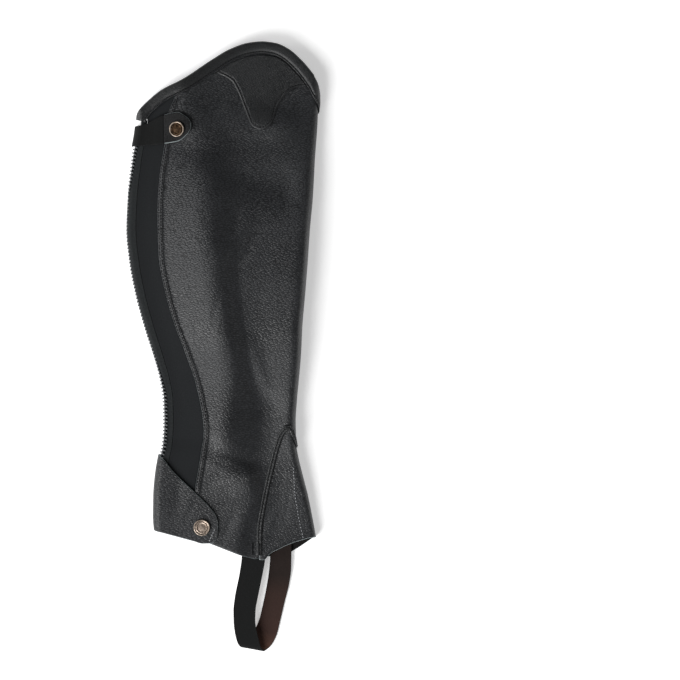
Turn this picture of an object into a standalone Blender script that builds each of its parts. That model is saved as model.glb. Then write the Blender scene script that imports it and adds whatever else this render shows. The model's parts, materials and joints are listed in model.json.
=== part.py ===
"""Half chap for riding: a zipped leather tube for the lower leg, laid flat with its outer side up.

The tube is drawn as its maker cuts it. A place on it is given by two distances in millimetres:
`around`, measured along the leather round the leg, and `up`, measured along the leg. On the upper
wall `around` is the same as X. Past the front edge it runs on round the shin fold to the wall that
lies on the table, and past the back edge it runs round the zip fold. `skin` turns such a place
into a point in space, so each panel is cut from that one surface, and what lies on a panel is
made from the same points, moved out.

X runs from the zip to the shin, Y up the leg and Z up from the table.
"""

import math

import bmesh
import bpy
import numpy as np

MM = 0.001

# Driving dimensions, in millimetres
LEATHER = 2.0  # grained leather with its bonded backing
ELASTIC = 1.4
TAPE = 1.0
LINING = 1.0
LINING_REST = 0.9
LINING_BOTTOM = 130.0  # below this height the backing is bonded to the leather
GAP = 0.3
TURNED_EDGE = 1.0  # extra height where the leather is turned under and double stitched
TURNED_WIDTH = 4.0
TURNED_SLOPE = 1.0
BACK_BEND = 5.0  # outer radius of the fold that carries the zip
SHIN_CORNER = 3.0  # outer radius of the leather where the upper wall turns down at the shin
LINING_ROOM = 1.8  # added to that radius where the tube is lined
BINDING_WIDTH = 8.5
BINDING_LEATHER = 1.3
BINDING_REST = 0.6  # clearance inside the folded binding, which crosses facets of the walls it holds
RIM_LIFT = BINDING_LEATHER + BINDING_REST + 0.05  # the table wall is raised so much under the binding
FLAP_LEATHER = 2.0
PATCH_LEATHER = 1.2
TAB_REST = 1.3  # the tab bridges the slider and the turned leather edge at this height
TAB_ELASTIC = 1.4
TAB_LEATHER = 2.2
WELT_WIDTH = 5.0
WELT_HEIGHT = 1.1
WELT_REST = 0.6  # the welt rides a little higher, because it crosses the seam's two facets
CHAIN_HALF_WIDTH = 2.2
CHAIN_DEPTH = 1.8
CHAIN_ENDS = (-163.0, 189.4)
SLIDER_LENGTH = 9.0
TAPE_CLEARANCE = 0.6  # between each tape and the chain
TAPE_BOTTOM = -166.0
TAPE_FLAT = 4.0  # how far each tape runs on past the zip fold
ELASTIC_INSET = 0.4  # how far the elastic lies below the leather's outer face
TAPE_INSET = 0.3
STIRRUP_THICKNESS = 1.6
SNAP_DIAMETER = 15.5
SNAP_HEIGHT = 2.6


def table(columns, *rows):
    """A short table of sizes: each named column as an array, read down the rows."""
    return dict(zip(columns.split(), np.array(rows, float).T))


# The leg tube, from the hem up: its two edges as it lies, half the height of the shin fold, and the
# upper wall, which rises from the zip to a crest, falls into a trough and rises again to the shin.
SECTIONS = table(
    "up    back   front  shin_bend  crest  height  fall  fall_width",
    (-215, -62.0, 95.0, 5.4, 8.0, 12.8, 2.2, 18.0),
    (-178, -62.6, 86.6, 6.2, 15.0, 14.3, 2.4, 18.0),
    (-160, -64.0, 83.2, 6.7, 20.0, 15.3, 2.6, 16.0),
    (-140, -63.8, 79.2, 7.4, 26.5, 16.6, 3.0, 13.0),
    (-118, -62.0, 73.6, 8.3, 22.0, 18.6, 4.0, 15.0),
    (-104, -59.6, 70.2, 8.8, 6.0, 20.2, 5.2, 32.0),
    (-92, -57.2, 68.2, 9.3, 3.0, 21.4, 5.8, 36.0),
    (-70, -56.0, 67.6, 9.9, 4.0, 22.7, 6.0, 35.0),
    (-50, -56.4, 68.8, 10.9, 6.5, 23.6, 5.8, 30.0),
    (-31, -59.4, 70.6, 11.8, 8.5, 24.6, 5.4, 22.0),
    (-8, -65.8, 72.6, 12.8, 6.5, 25.8, 5.2, 20.0),
    (20, -74.6, 74.0, 13.4, 1.5, 27.2, 5.0, 20.0),
    (50, -82.6, 76.6, 13.6, -4.0, 28.0, 4.8, 22.0),
    (80, -88.2, 79.0, 13.5, -8.5, 28.4, 4.6, 24.0),
    (110, -91.0, 81.0, 13.1, -11.5, 28.0, 4.2, 26.0),
    (138, -90.0, 83.6, 12.4, -12.5, 26.4, 3.6, 28.0),
    (175, -85.8, 85.6, 10.6, -16.0, 22.3, 2.4, 30.0),
    (213, -80.4, 88.2, 9.0, -30.0, 18.0, 1.2, 32.0),
    (236, -80.4, 88.8, 8.5, -34.0, 16.4, 0.8, 32.0),
    (300, -80.4, 88.8, 8.1, -36.0, 15.4, 0.6, 32.0),
)

# The share of each rise that is rounded at its start and at its end.
CREST_ENDS = (0.24, 0.2)
SHIN_ENDS = (0.45, 0.12)

# The top edge of the outer wall, peaked over the shin, and on round the shin fold.
OUTER_TOP = table(
    "around  up",
    (-86, 198),
    (-82, 209),
    (-80, 215.6),
    (-76.5, 220.6),
    (-69.6, 227.6),
    (-56.4, 238),
    (-36.7, 247.6),
    (-8.5, 266.2),
    (7.5, 275.6),
    (24, 281.2),
    (35.7, 282.4),
    (48, 281),
    (59.2, 276),
    (70.5, 266.3),
    (79, 256.6),
    (86.5, 246),
    (91, 238),
    (95.5, 231.5),
    (100, 227),
    (105, 225),
    (112, 225),
)
# The top edge of the wall on the table is nearly straight.
INNER_TOP = table(
    "x    up",
    (-78, 214),
    (-70, 218.6),
    (-58, 222),
    (0, 224),
    (60, 224.5),
    (78, 225),
)
OUTER_HEM = table(
    "around  up",
    (-90, -160),
    (-62, -168),
    (-36, -176),
    (-11.3, -184.5),
    (5.6, -191.1),
    (18.5, -195.8),
    (32, -199),
    (38, -199.6),
    (43.5, -193.6),
    (50.8, -189.8),
    (60.2, -185.2),
    (73.3, -180.8),
    (86, -178),
    (98, -179.5),
)
INNER_HEM = table(
    "x    up",
    (-66, -166),
    (-40, -174),
    (20, -192),
    (40, -197),
    (56, -196),
    (66, -191),
    (82, -180.5),
)
# The edge of the leather beside the elastic, on the outer wall.
ELASTIC_SEAM = table(
    "up   x",
    (-215, -35.0),
    (-177, -33.0),
    (-132, -26.3),
    (-99, -20.7),
    (-78, -17.9),
    (-66, -19.0),
    (-35, -25.4),
    (-6, -35.3),
    (20, -45.3),
    (50, -54.0),
    (85, -60.2),
    (128, -61.3),
    (157, -59.7),
    (190, -54.8),
    (217, -51.5),
    (236, -44.6),
    (300, -30.0),
)
# The seam round the gusset: up its outer side, over the apex and down its inner side.
GUSSET_OUTER = table(
    "up   around",
    (-215, 33.2),
    (-197, 33.2),
    (-172, 33.6),
    (-150, 36.7),
    (-131, 40.6),
    (-110, 45.6),
    (-89, 51.4),
    (-80, 55.5),
    (-75, 60.8),
)
GUSSET_INNER = table(
    "up   around",
    (-215, 164.0),
    (-197, 152.0),
    (-180, 139.0),
    (-163, 126.0),
    (-145, 112.5),
    (-125, 99.5),
    (-105, 85.5),
    (-92, 73.5),
    (-81, 66.2),
    (-75, 63.2),
)
GUSSET_APEX = -75.0

# How far round its fold the middle of the zip lies, in degrees from the upper wall. Where this is
# small, the teeth show from above.
ZIP_TURN = table(
    "up    degrees",
    (-215, 90),
    (-165, 86),
    (-118, 58),
    (-90, 48),
    (-55, 50),
    (-30, 66),
    (10, 94),
    (80, 98),
    (135, 84),
    (165, 58),
    (190, 52),
    (230, 60),
)

# The large folds in the upper wall: a positive depth is a dent, a negative one a swelling.
FOLDS = table(
    "x     up    angle  half_length  half_width  depth",
    (-28.0, 187.0, -20.0, 28.0, 15.0, 2.2),
    (50.0, 206.0, 4.0, 30.0, 14.0, -2.8),
    (46.0, 152.0, -4.0, 44.0, 18.0, 2.4),
    (8.0, -101.0, -17.0, 22.0, 8.5, 2.3),
    (12.0, -123.0, 8.0, 24.0, 11.0, -1.2),
    (17.0, -156.0, 72.0, 30.0, 11.0, -0.8),
    (46.0, -52.0, 150.0, 20.0, 7.0, 0.4),
    (50.0, -150.0, 75.0, 30.0, 8.0, 0.8),
)

PATCH_EDGE = table(
    "around  up",
    (-9.0, 257.0),
    (7.5, 248.0),
    (14.1, 236.6),
    (20.3, 220.7),
    (27.6, 205.2),
    (35.7, 202.0),
    (44.7, 207.0),
    (51.7, 224.9),
    (58.3, 235.0),
    (68.2, 241.4),
    (78.0, 243.5),
)
FLAP_BOTTOM = table(
    "around  up",
    (-90, -163),
    (-62, -172.4),
    (-42, -177.8),
    (-27.3, -181.7),
    (-19.5, -183.8),
    (-10.5, -183.4),
    (-6, -178),
    (-4.6, -170),
)
FLAP_TOP = table(
    "around  up",
    (-90, -100.6),
    (-60.5, -101),
    (-57, -104),
    (-47, -116.4),
    (-27.3, -135.2),
    (-12, -150.6),
    (-6, -159.5),
    (-4.6, -166),
)
TAB_BOTTOM = table(
    "around  up",
    (-96, 186.6),
    (-56, 189.4),
    (-42, 191.6),
    (-33, 198),
    (-29.4, 204),
)
TAB_TOP = table(
    "around  up",
    (-96, 205),
    (-80, 206.4),
    (-73, 208),
    (-56, 216),
    (-42, 218.6),
    (-33, 213.5),
    (-29.4, 208.5),
)
TAB_TIP_START = -55.0
TAB_END_TURN = 118.0  # degrees round the zip fold at which the tab's sewn end stops
FLAP_TIP = -4.8
TAB_SNAP = (-42.0, 203.0)
ANKLE_SNAP = (-19.8, -168.6)

# The stirrup elastic: its two edges from the outer wall, under the foot and back to the inner wall.
STIRRUP = table(
    "left_x  left_y  right_x  right_y  z",
    (17.6, -180.0, 39.5, -180.0, 8.5),
    (17.0, -197.0, 38.8, -199.0, 8.0),
    (15.0, -212.0, 36.7, -212.0, 8.0),
    (10.6, -234.0, 32.2, -234.0, 8.0),
    (9.2, -247.0, 30.0, -246.5, 8.0),
    (9.4, -258.0, 29.6, -257.0, 8.0),
    (11.2, -271.0, 32.0, -271.0, 7.8),
    (14.0, -279.0, 35.4, -282.4, 7.0),
    (17.0, -281.2, 37.8, -285.0, 4.7),
    (20.0, -278.6, 43.0, -282.0, 1.8),
    (27.6, -268.0, 49.2, -271.6, 0.8),
    (32.8, -257.0, 53.0, -257.0, 0.8),
    (37.0, -240.0, 57.0, -240.0, 0.8),
    (40.6, -222.0, 61.4, -222.0, 1.2),
    (42.6, -208.0, 63.2, -208.0, 2.6),
    (43.4, -197.0, 63.4, -197.0, 3.5),
    (43.6, -180.0, 63.6, -180.0, 3.5),
)


def read(columns, name, at):
    """Reads one column of a table as a smooth curve that doesn't overshoot its rows."""
    names = list(columns)
    keys = columns[names[0]]
    values = columns[name]
    steps = np.diff(keys)
    rises = np.diff(values) / steps
    slopes = np.zeros_like(values)
    same_way = rises[:-1] * rises[1:] > 0
    safe = np.where(same_way, rises[:-1] + rises[1:], 1.0)
    slopes[1:-1] = np.where(same_way, 2 * rises[:-1] * rises[1:] / safe, 0.0)
    slopes[0], slopes[-1] = rises[0], rises[-1]
    at = np.asarray(at, float)
    row = np.clip(np.searchsorted(keys, at) - 1, 0, len(keys) - 2)
    step = steps[row]
    t = np.clip((at - keys[row]) / step, 0.0, 1.0)
    rest = 1 - t
    return (
        values[row] * (1 + 2 * t) * rest**2
        + values[row + 1] * (3 - 2 * t) * t**2
        + step * (slopes[row] * t * rest**2 - slopes[row + 1] * t**2 * rest)
    )


def soft(t):
    """A smooth step from 0 to 1."""
    t = np.clip(t, 0.0, 1.0)
    return t * t * (3 - 2 * t)


def even_rise(t, start, end):
    """A rise from 0 to 1 with an even slope between two rounded ends."""
    t = np.clip(t, 0.0, 1.0)
    slope = 1 / (1 - start / 2 - end / 2)
    beginning, ending = slope * t**2 / (2 * start), 1 - slope * (1 - t) ** 2 / (2 * end)
    return np.where(t < start, beginning, np.where(t > 1 - end, ending, slope * (t - start / 2)))


def zip_start(up):
    """Where the upper wall begins, beside the zip fold."""
    return read(SECTIONS, "back", up) + BACK_BEND


def shin_reach(up):
    """How far the shin fold stands out: it is half an ellipse, narrower than it is high."""
    corner = SHIN_CORNER + LINING_ROOM * soft((np.asarray(up, float) - LINING_BOTTOM + 40) / 40)
    return np.sqrt(corner * read(SECTIONS, "shin_bend", up))


def shin_arc(up):
    """The length of leather round the shin fold."""
    return math.pi * np.sqrt((shin_reach(up) ** 2 + read(SECTIONS, "shin_bend", up) ** 2) / 2)


def shin_start(up):
    """Where the upper wall ends, beside the shin fold."""
    return read(SECTIONS, "front", up) - shin_reach(up)


def back_lift(up):
    """The zip fold is lifted where the ankle flap passes under it."""
    return (FLAP_LEATHER + GAP) * soft((-84 - np.asarray(up, float)) / 16)


def edge_height(outer, inner, around, up):
    """The height of an edge at a place round the tube: one table gives it as far as the end of the
    shin fold, the other along the wall on the table."""
    fold_end = shin_start(up) + shin_arc(up)
    under_x = shin_start(up) + fold_end - around
    return np.where(around < fold_end, read(outer, "up", around), read(inner, "up", under_x))


def top_edge(around, up):
    return edge_height(OUTER_TOP, INNER_TOP, around, up)


def hem_edge(around, up):
    return edge_height(OUTER_HEM, INNER_HEM, around, up)


def relief(x, up):
    """How far the folds push the upper wall in."""
    depth = np.zeros_like(x + up)
    for row in zip(*FOLDS.values()):
        fold_x, fold_up, angle, half_length, half_width, fold_depth = row
        turn = math.radians(angle)
        along = (x - fold_x) * math.cos(turn) + (up - fold_up) * math.sin(turn)
        aside = (up - fold_up) * math.cos(turn) - (x - fold_x) * math.sin(turn)
        depth = depth + fold_depth * np.exp(-((along / half_length) ** 2) - (aside / half_width) ** 2)
    return depth


def outside(around, up):
    """The outer face of the leather tube, in millimetres."""
    around, up = np.broadcast_arrays(np.asarray(around, float), np.asarray(up, float))
    zip_side, shin_side = zip_start(up), shin_start(up)
    shin_bend = read(SECTIONS, "shin_bend", up)
    lift = back_lift(up)
    rim_lift = RIM_LIFT * soft((up - top_edge(around, up) + 38) / 24)

    crest, fall_width = read(SECTIONS, "crest", up), read(SECTIONS, "fall_width", up)
    height, fall = read(SECTIONS, "height", up), read(SECTIONS, "fall", up)
    zip_height, shin_height = 2 * BACK_BEND + lift, 2 * shin_bend
    to_crest = (around - zip_side) / (crest - zip_side)
    to_shin = (around - crest - fall_width) / (shin_side - crest - fall_width)
    upper = zip_height + (height - zip_height) * even_rise(to_crest, *CREST_ENDS)
    upper = upper - fall * soft((around - crest) / fall_width)
    upper = upper + (shin_height - height + fall) * even_rise(to_shin, *SHIN_ENDS)
    free = soft((around - zip_side) / 25) * soft((shin_side - around) / 20)
    upper = upper - relief(around, up) * free

    shin_turn = np.clip((around - shin_side) / shin_arc(up), 0.0, 1.0) * math.pi
    zip_turn = np.clip((zip_side - around) / BACK_BEND, 0.0, math.pi)
    past_shin = np.maximum(around - shin_side - shin_arc(up), 0.0)
    past_zip = np.maximum(zip_side - around - math.pi * BACK_BEND, 0.0)
    shin_x = shin_side + shin_reach(up) * np.sin(shin_turn) - past_shin
    shin_z = shin_bend * (1 + np.cos(shin_turn)) + rim_lift * shin_turn / math.pi
    zip_x = zip_side - BACK_BEND * np.sin(zip_turn) + past_zip
    zip_z = BACK_BEND * (1 + np.cos(zip_turn)) + lift

    on_shin, on_zip = around > shin_side, around < zip_side
    x = np.where(on_shin, shin_x, np.where(on_zip, zip_x, around))
    z = np.where(on_shin, shin_z, np.where(on_zip, zip_z, upper))
    return np.stack([x, up, z], axis=-1)


def skin(around, up, out=0.0):
    """A point on the tube's outer face, moved out of the leather by `out` millimetres."""
    small = 0.05
    around, up, out = np.broadcast_arrays(*(np.asarray(each, float) for each in (around, up, out)))
    along = outside(around + small, up) - outside(around - small, up)
    upward = outside(around, up + small) - outside(around, up - small)
    normal = np.cross(along, upward)
    normal /= np.linalg.norm(normal, axis=-1, keepdims=True)
    return outside(around, up) + normal * out[..., None]


def turns(place, up):
    """Distance round the tube for a place counted in parts: 0 to 1 crosses the upper wall, 1 to 2
    is the shin fold, 2 to 3 the wall on the table, and -1 to 0 the zip fold."""
    width = shin_start(up) - zip_start(up)
    return (
        zip_start(up)
        + np.minimum(place, 0.0) * math.pi * BACK_BEND
        + np.clip(place, 0.0, 1.0) * width
        + np.clip(place - 1, 0.0, 1.0) * shin_arc(up)
        + np.clip(place - 2, 0.0, 1.0) * width
    )


def settle(place, edge):
    """The height at which a place round the tube meets an edge whose height varies round it."""
    up = np.zeros_like(np.asarray(place, float))
    for _ in range(12):
        up = edge(turns(place, up), up)
    return up


def material(name, colour, roughness, metallic=0.0):
    made = bpy.data.materials.new(name)
    made.use_nodes = True
    shader = made.node_tree.nodes["Principled BSDF"]
    shader.inputs["Base Color"].default_value = (*colour, 1.0)
    shader.inputs["Roughness"].default_value = roughness
    shader.inputs["Metallic"].default_value = metallic
    made.diffuse_color = (*colour, 1.0)
    return made


def solid(name, points, faces, finish):
    """One closed object from points in millimetres."""
    mesh = bpy.data.meshes.new(name)
    mesh.from_pydata([tuple(point) for point in np.asarray(points) * MM], [], faces)
    shape = bmesh.new()
    shape.from_mesh(mesh)
    bmesh.ops.recalc_face_normals(shape, faces=shape.faces)
    shape.to_mesh(mesh)
    shape.free()
    mesh.shade_smooth()
    mesh.set_sharp_from_angle(angle=math.radians(40))
    mesh.materials.append(finish)
    made = bpy.data.objects.new(name, mesh)
    bpy.context.scene.collection.objects.link(made)
    return made


def wall(name, outer, inner, finish):
    """A sheet with thickness: two grids of points, joined round their four borders."""
    rows, columns = outer.shape[:2]
    count = rows * columns

    def at(side, row, column):
        return side * count + row * columns + column

    faces = []
    for row in range(rows - 1):
        for column in range(columns - 1):
            corners = ((row, column), (row, column + 1), (row + 1, column + 1), (row + 1, column))
            faces.append([at(0, *corner) for corner in corners])
            faces.append([at(1, *corner) for corner in reversed(corners)])
    border = [(0, column) for column in range(columns)]
    border += [(row, columns - 1) for row in range(1, rows)]
    border += [(rows - 1, column) for column in range(columns - 2, -1, -1)]
    border += [(row, 0) for row in range(rows - 2, 0, -1)]
    for here, there in zip(border, border[1:] + border[:1]):
        faces.append([at(1, *here), at(1, *there), at(0, *there), at(0, *here)])
    return solid(name, np.concatenate([outer.reshape(-1, 3), inner.reshape(-1, 3)]), faces, finish)


def tube(name, rings, finish):
    """A closed section carried along a path, with both ends capped."""
    count, sides = rings.shape[:2]
    faces = [list(range(sides)), list(range((count - 1) * sides, count * sides))]
    for ring in range(count - 1):
        for side in range(sides):
            beside = (side + 1) % sides
            first, second = ring * sides, (ring + 1) * sides
            faces.append([first + side, first + beside, second + beside, second + side])
    return solid(name, rings.reshape(-1, 3), faces, finish)


def panel(name, around, up, thickness, finish, out=0.0):
    """A wall cut from the tube: its outer face lies `out` from the skin, its inner face is plain."""
    outer = skin(around, up, out)
    base = np.min(out) if np.ndim(out) else out
    return wall(name, outer, skin(around, up, base - thickness), finish)


def spread(low, high, rows):
    """Rows of heights between a lower and an upper edge, one column for each place."""
    share = np.linspace(0.0, 1.0, rows)[:, None]
    return low[None, :] * (1 - share) + high[None, :] * share


def body_around(place, up):
    """The leather's own places: -1 to 0 is its turned edge beside the elastic, 0 to 1 the rest of
    the upper wall, and from 1 on they are the tube's."""
    seam = read(ELASTIC_SEAM, "x", up)
    edge_width = TURNED_WIDTH + TURNED_SLOPE
    beside = seam + edge_width * np.clip(place + 1, 0.0, 1.0)
    across = (shin_start(up) - seam - edge_width) * np.clip(place, 0.0, 1.0)
    return np.where(place <= 1, beside + across, turns(np.maximum(place, 1.0), up))


def body_place(around, up):
    """The inverse of `body_around` for one point."""
    low, high = -1.0, 3.0
    for _ in range(40):
        middle = (low + high) / 2
        if body_around(np.array(middle), np.array(up)) < around:
            low = middle
        else:
            high = middle
    return (low + high) / 2


def turned_edge(around, up):
    """The leather is thicker where it is turned under beside the elastic, but not where the
    binding or the ankle flap lies on it."""
    inward = around - read(ELASTIC_SEAM, "x", up)
    below_binding = soft((read(OUTER_TOP, "up", around) - BINDING_WIDTH - 3 - up) / 6)
    above_flap = soft((up - read(FLAP_TOP, "up", around) - 1) / 5)
    ridge = soft((TURNED_WIDTH + TURNED_SLOPE - inward) / TURNED_SLOPE)
    return TURNED_EDGE * ridge * below_binding * above_flap


def body_bottom():
    """The leather's lower edge: outer hem, up and over the gusset, and inner hem, as (place, up)."""
    points = []
    for place in (-1.0, -0.24, 0.0, 0.09, 0.18, 0.27, 0.36, 0.45):
        up = -180.0
        for _ in range(20):
            around = body_around(np.array(place), np.array(up))
            up = float(hem_edge(around, up))
        points.append((place, up))
    for up in (-197.0, -185.0, -172.0, -161.0, -150.0, -131.0, -110.0, -89.0, -80.0, -77.4):
        around = read(GUSSET_OUTER, "around", up) - GAP
        points.append((body_place(around, up), up))
    points.append((body_place(62.0, GUSSET_APEX + 1), GUSSET_APEX + 1))
    fold_side = (-76.9, -79.0, -84.5, -90.0, -95.0, -100.2, -103.0, -105.2, -107.0, -108.6)
    for up in (*fold_side, -123.0, -145.0, -163.0, -180.0, -196.0):
        around = read(GUSSET_INNER, "around", up) + GAP
        points.append((body_place(around, up), up))
    last = points[-1][0]
    for share in (0.18, 0.36, 0.54, 0.7, 0.82, 0.9):
        place = last + (3 - last) * share
        points.append((place, float(settle(place, hem_edge))))
    return points


def leather_body(finish):
    places, bottom = np.array(body_bottom()).T
    top = np.full_like(places, 230.0)
    for _ in range(12):
        top = top_edge(body_around(places, top), top)
    up = spread(bottom, top, 34)
    around = body_around(places[None, :], up)
    # The last column stops beside the zip tape on the table side, a little lower in the binding.
    last_up = spread(bottom[-1:], top[-1:] - 2.0, 34)
    around = np.concatenate([around, turns(3.0, last_up) - TAPE_FLAT - GAP], axis=1)
    up = np.concatenate([up, last_up], axis=1)
    outer = skin(around, up, turned_edge(around, up))
    return wall("leather_body", outer, skin(around, up, -LEATHER), finish)


def elastic_panel(finish):
    share = np.linspace(0.0, 1.0, 8)

    def around_at(up):
        start = zip_start(up) + TAPE_FLAT + GAP
        return start + (read(ELASTIC_SEAM, "x", up) - GAP - start) * share

    low, high = np.full_like(share, -170.0), np.full_like(share, 225.0)
    for _ in range(12):
        low = hem_edge(around_at(low), low)
        high = top_edge(around_at(high), high)
    up = spread(low, high, 34)
    return panel("elastic_panel", around_at(up), up, ELASTIC, finish, out=-ELASTIC_INSET)


def zip_middle(up):
    """The line of the closed zip, on its fold."""
    return zip_start(up) - np.radians(read(ZIP_TURN, "degrees", up)) * BACK_BEND


def zip_tapes(finish):
    """The two tapes: from beside the chain round to the elastic, and round to the table wall."""
    near = CHAIN_HALF_WIDTH + TAPE_CLEARANCE

    def outer_tape(up):
        return zip_middle(up) + near, zip_start(up) + TAPE_FLAT

    def inner_tape(up):
        return zip_start(up) - math.pi * BACK_BEND - TAPE_FLAT, zip_middle(up) - near

    for name, edges, rows, top in (
        ("zip_tape_outer", outer_tape, 4, 212.0),
        ("zip_tape_inner", inner_tape, 8, 199.0),
    ):
        up = np.linspace(TAPE_BOTTOM, top, 30)[:, None]
        first, last = edges(up)
        around = first + (last - first) * np.linspace(0.0, 1.0, rows)
        panel(name, around, np.broadcast_to(up, around.shape), TAPE, finish, out=-TAPE_INSET)


def zip_chain(finish):
    up = np.linspace(*CHAIN_ENDS, 40)
    middle = zip_middle(up)
    section = ((-1, -CHAIN_DEPTH), (1, -CHAIN_DEPTH), (1, 0.0), (-1, 0.0))
    rings = np.stack([skin(middle + side * CHAIN_HALF_WIDTH, up, out) for side, out in section], axis=1)
    return tube("zip_chain", rings, finish)


def zip_slider(finish):
    bottom = CHAIN_ENDS[1] + 2 * GAP
    up = np.linspace(bottom, bottom + SLIDER_LENGTH, 6)
    middle = zip_middle(up)
    width = np.array([1.7, 2.1, 2.2, 2.2, 2.0, 1.4])
    section = ((-1, -CHAIN_DEPTH), (1, -CHAIN_DEPTH), (1, 0.2), (0.7, 1), (-0.7, 1), (-1, 0.2))
    rings = np.stack([skin(middle + side * width, up, out) for side, out in section], axis=1)
    return tube("zip_slider", rings, finish)


def along_top(places, inset):
    """Points a set distance down from the tube's top edge, square to that edge."""
    before, edge_up, after = (settle(places + step, top_edge) for step in (-0.01, 0.0, 0.01))
    edge_around = turns(places, edge_up)
    run = turns(places + 0.01, after) - turns(places - 0.01, before)
    climb = after - before
    length = np.hypot(run, climb)
    return edge_around + inset * climb / length, edge_up - inset * run / length


def top_binding(finish):
    """Leather folded over the top edge: a rounded band outside, a roll over the edge, a band inside."""
    roll = LEATHER / 2 + BINDING_REST
    middle = -LEATHER / 2
    places = np.concatenate(
        [
            np.linspace(-0.36, 0.0, 7)[:-1],
            np.linspace(0.0, 1.0, 26)[:-1],
            np.linspace(1.0, 2.0, 12)[:-1],
            np.linspace(2.0, 2.88, 10)[:-1],
            np.linspace(2.88, 2.99, 4),
        ]
    )
    reach = roll + BINDING_LEATHER
    section = [(BINDING_WIDTH, BINDING_REST), (BINDING_WIDTH, BINDING_REST + 0.5)]
    section.append((BINDING_WIDTH * 0.55, BINDING_REST + BINDING_LEATHER))
    for angle in (90, 45, 0, -45, -90):
        turn = math.radians(angle)
        section.append((-reach * math.cos(turn), middle + reach * math.sin(turn)))
    section.append((BINDING_WIDTH - 1, middle - reach))
    section.append((BINDING_WIDTH - 1, middle - roll))
    section.append((BINDING_WIDTH / 2, middle - roll))
    for angle in (-90, 0, 90):
        turn = math.radians(angle)
        section.append((-roll * math.cos(turn), middle + roll * math.sin(turn)))
    section.append((BINDING_WIDTH / 2, BINDING_REST))
    rings = []
    for inset, out in section:
        around, up = along_top(places, max(inset, 0.0))
        point = skin(around, up, out)
        if inset < 0:
            below = skin(*along_top(places, 1.0), out)
            point = point + (point - below) * -inset
        rings.append(point)
    return tube("top_binding", np.stack(rings, axis=1), finish)


def top_lining(finish):
    """Plain cloth just inside the mouth, below the binding, from the elastic round to the zip."""
    places = np.concatenate(
        [np.linspace(0.2, 1.0, 12)[:-1], np.linspace(1.0, 2.0, 10)[:-1], np.linspace(2.0, 2.96, 8)]
    )
    rim = settle(places, top_edge)
    high = rim - (BINDING_WIDTH + 4) * np.hypot(1, np.gradient(rim, turns(places, rim)))
    low = np.full_like(high, LINING_BOTTOM)
    up = spread(low, high, 9)
    around = turns(places[None, :], up)
    out = -LEATHER - LINING_REST
    return panel("top_lining", around, up, LINING, finish, out=out)


def knee_patch(finish):
    places = np.array([-8.6, -1, 7.5, 14.1, 20.3, 27.6, 32, 35.7, 40, 44.7, 51.7, 58.3, 68.2, 77.5])
    low = read(PATCH_EDGE, "up", places)
    slope = np.gradient(read(OUTER_TOP, "up", places), places)
    high = read(OUTER_TOP, "up", places) - (BINDING_WIDTH + 1.6) * np.hypot(1, slope)
    low = np.minimum(low, high - 1.0)
    up = spread(low, high, 8)
    around = np.broadcast_to(places[None, :], up.shape)
    return panel("knee_patch", around, up, PATCH_LEATHER, finish, out=GAP + PATCH_LEATHER)


def snap_tab(elastic, leather):
    """The elastic tab over the top of the zip, with its leather end."""
    start = zip_start(200.0) - math.radians(TAB_END_TURN) * BACK_BEND
    round_fold = np.linspace(start, -77.0, 8)[:-1]
    strap_places = np.concatenate([round_fold, np.linspace(-77.0, TAB_TIP_START - GAP, 5)])
    tip_places = np.array([TAB_TIP_START, -50, -45, -41, -37, -34, -32, -30.4, -29.6])
    for name, places, thickness, finish in (
        ("tab_strap", strap_places, TAB_ELASTIC, elastic),
        ("tab_tip", tip_places, TAB_LEATHER, leather),
    ):
        low, high = read(TAB_BOTTOM, "up", places), read(TAB_TOP, "up", places)
        up = spread(low, high, 6)
        around = np.broadcast_to(places[None, :], up.shape)
        panel(name, around, up, thickness, finish, out=TAB_REST + thickness)


def ankle_flap(finish):
    """From its seam on the table side, under and round the zip, to its rounded tip on the outer wall."""
    round_fold, flat = np.linspace(0.0, 0.34, 12), np.linspace(0.34, 0.86, 9)
    share = np.concatenate([round_fold[:-1], flat, [0.91, 0.95, 0.98, 1.0]])

    def around_at(up):
        seam = zip_start(up) - math.pi * BACK_BEND - TAPE_FLAT
        return seam + (FLAP_TIP - seam) * share

    low, high = np.full_like(share, -170.0), np.full_like(share, -130.0)
    for _ in range(12):
        low = read(FLAP_BOTTOM, "up", around_at(low))
        high = read(FLAP_TOP, "up", around_at(high))
    up = spread(low, high, 9)
    return panel("ankle_flap", around_at(up), up, FLAP_LEATHER, finish, out=GAP + FLAP_LEATHER)


def instep_gusset(finish):
    rows = np.array([0.0, 0.08, 0.2, 0.32, 0.44, 0.56, 0.68, 0.735, 0.79, 0.86, 0.92, 0.96, 1.0])
    outer, fold, inner = np.linspace(0.0, 0.42, 6), np.linspace(0.42, 0.58, 6), np.linspace(0.58, 1.0, 6)
    share = np.concatenate([outer[:-1], fold[:-1], inner])

    def around_at(up):
        left = read(GUSSET_OUTER, "around", up) + GAP / 2
        right = read(GUSSET_INNER, "around", up) - GAP / 2
        return left + (right - left) * share

    low = np.full_like(share, -185.0)
    for _ in range(12):
        low = hem_edge(around_at(low), low)
    up = low[None, :] + (GUSSET_APEX - 2.0 - low[None, :]) * rows[:, None]
    return panel("instep_gusset", around_at(up), up, LEATHER, finish)


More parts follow.
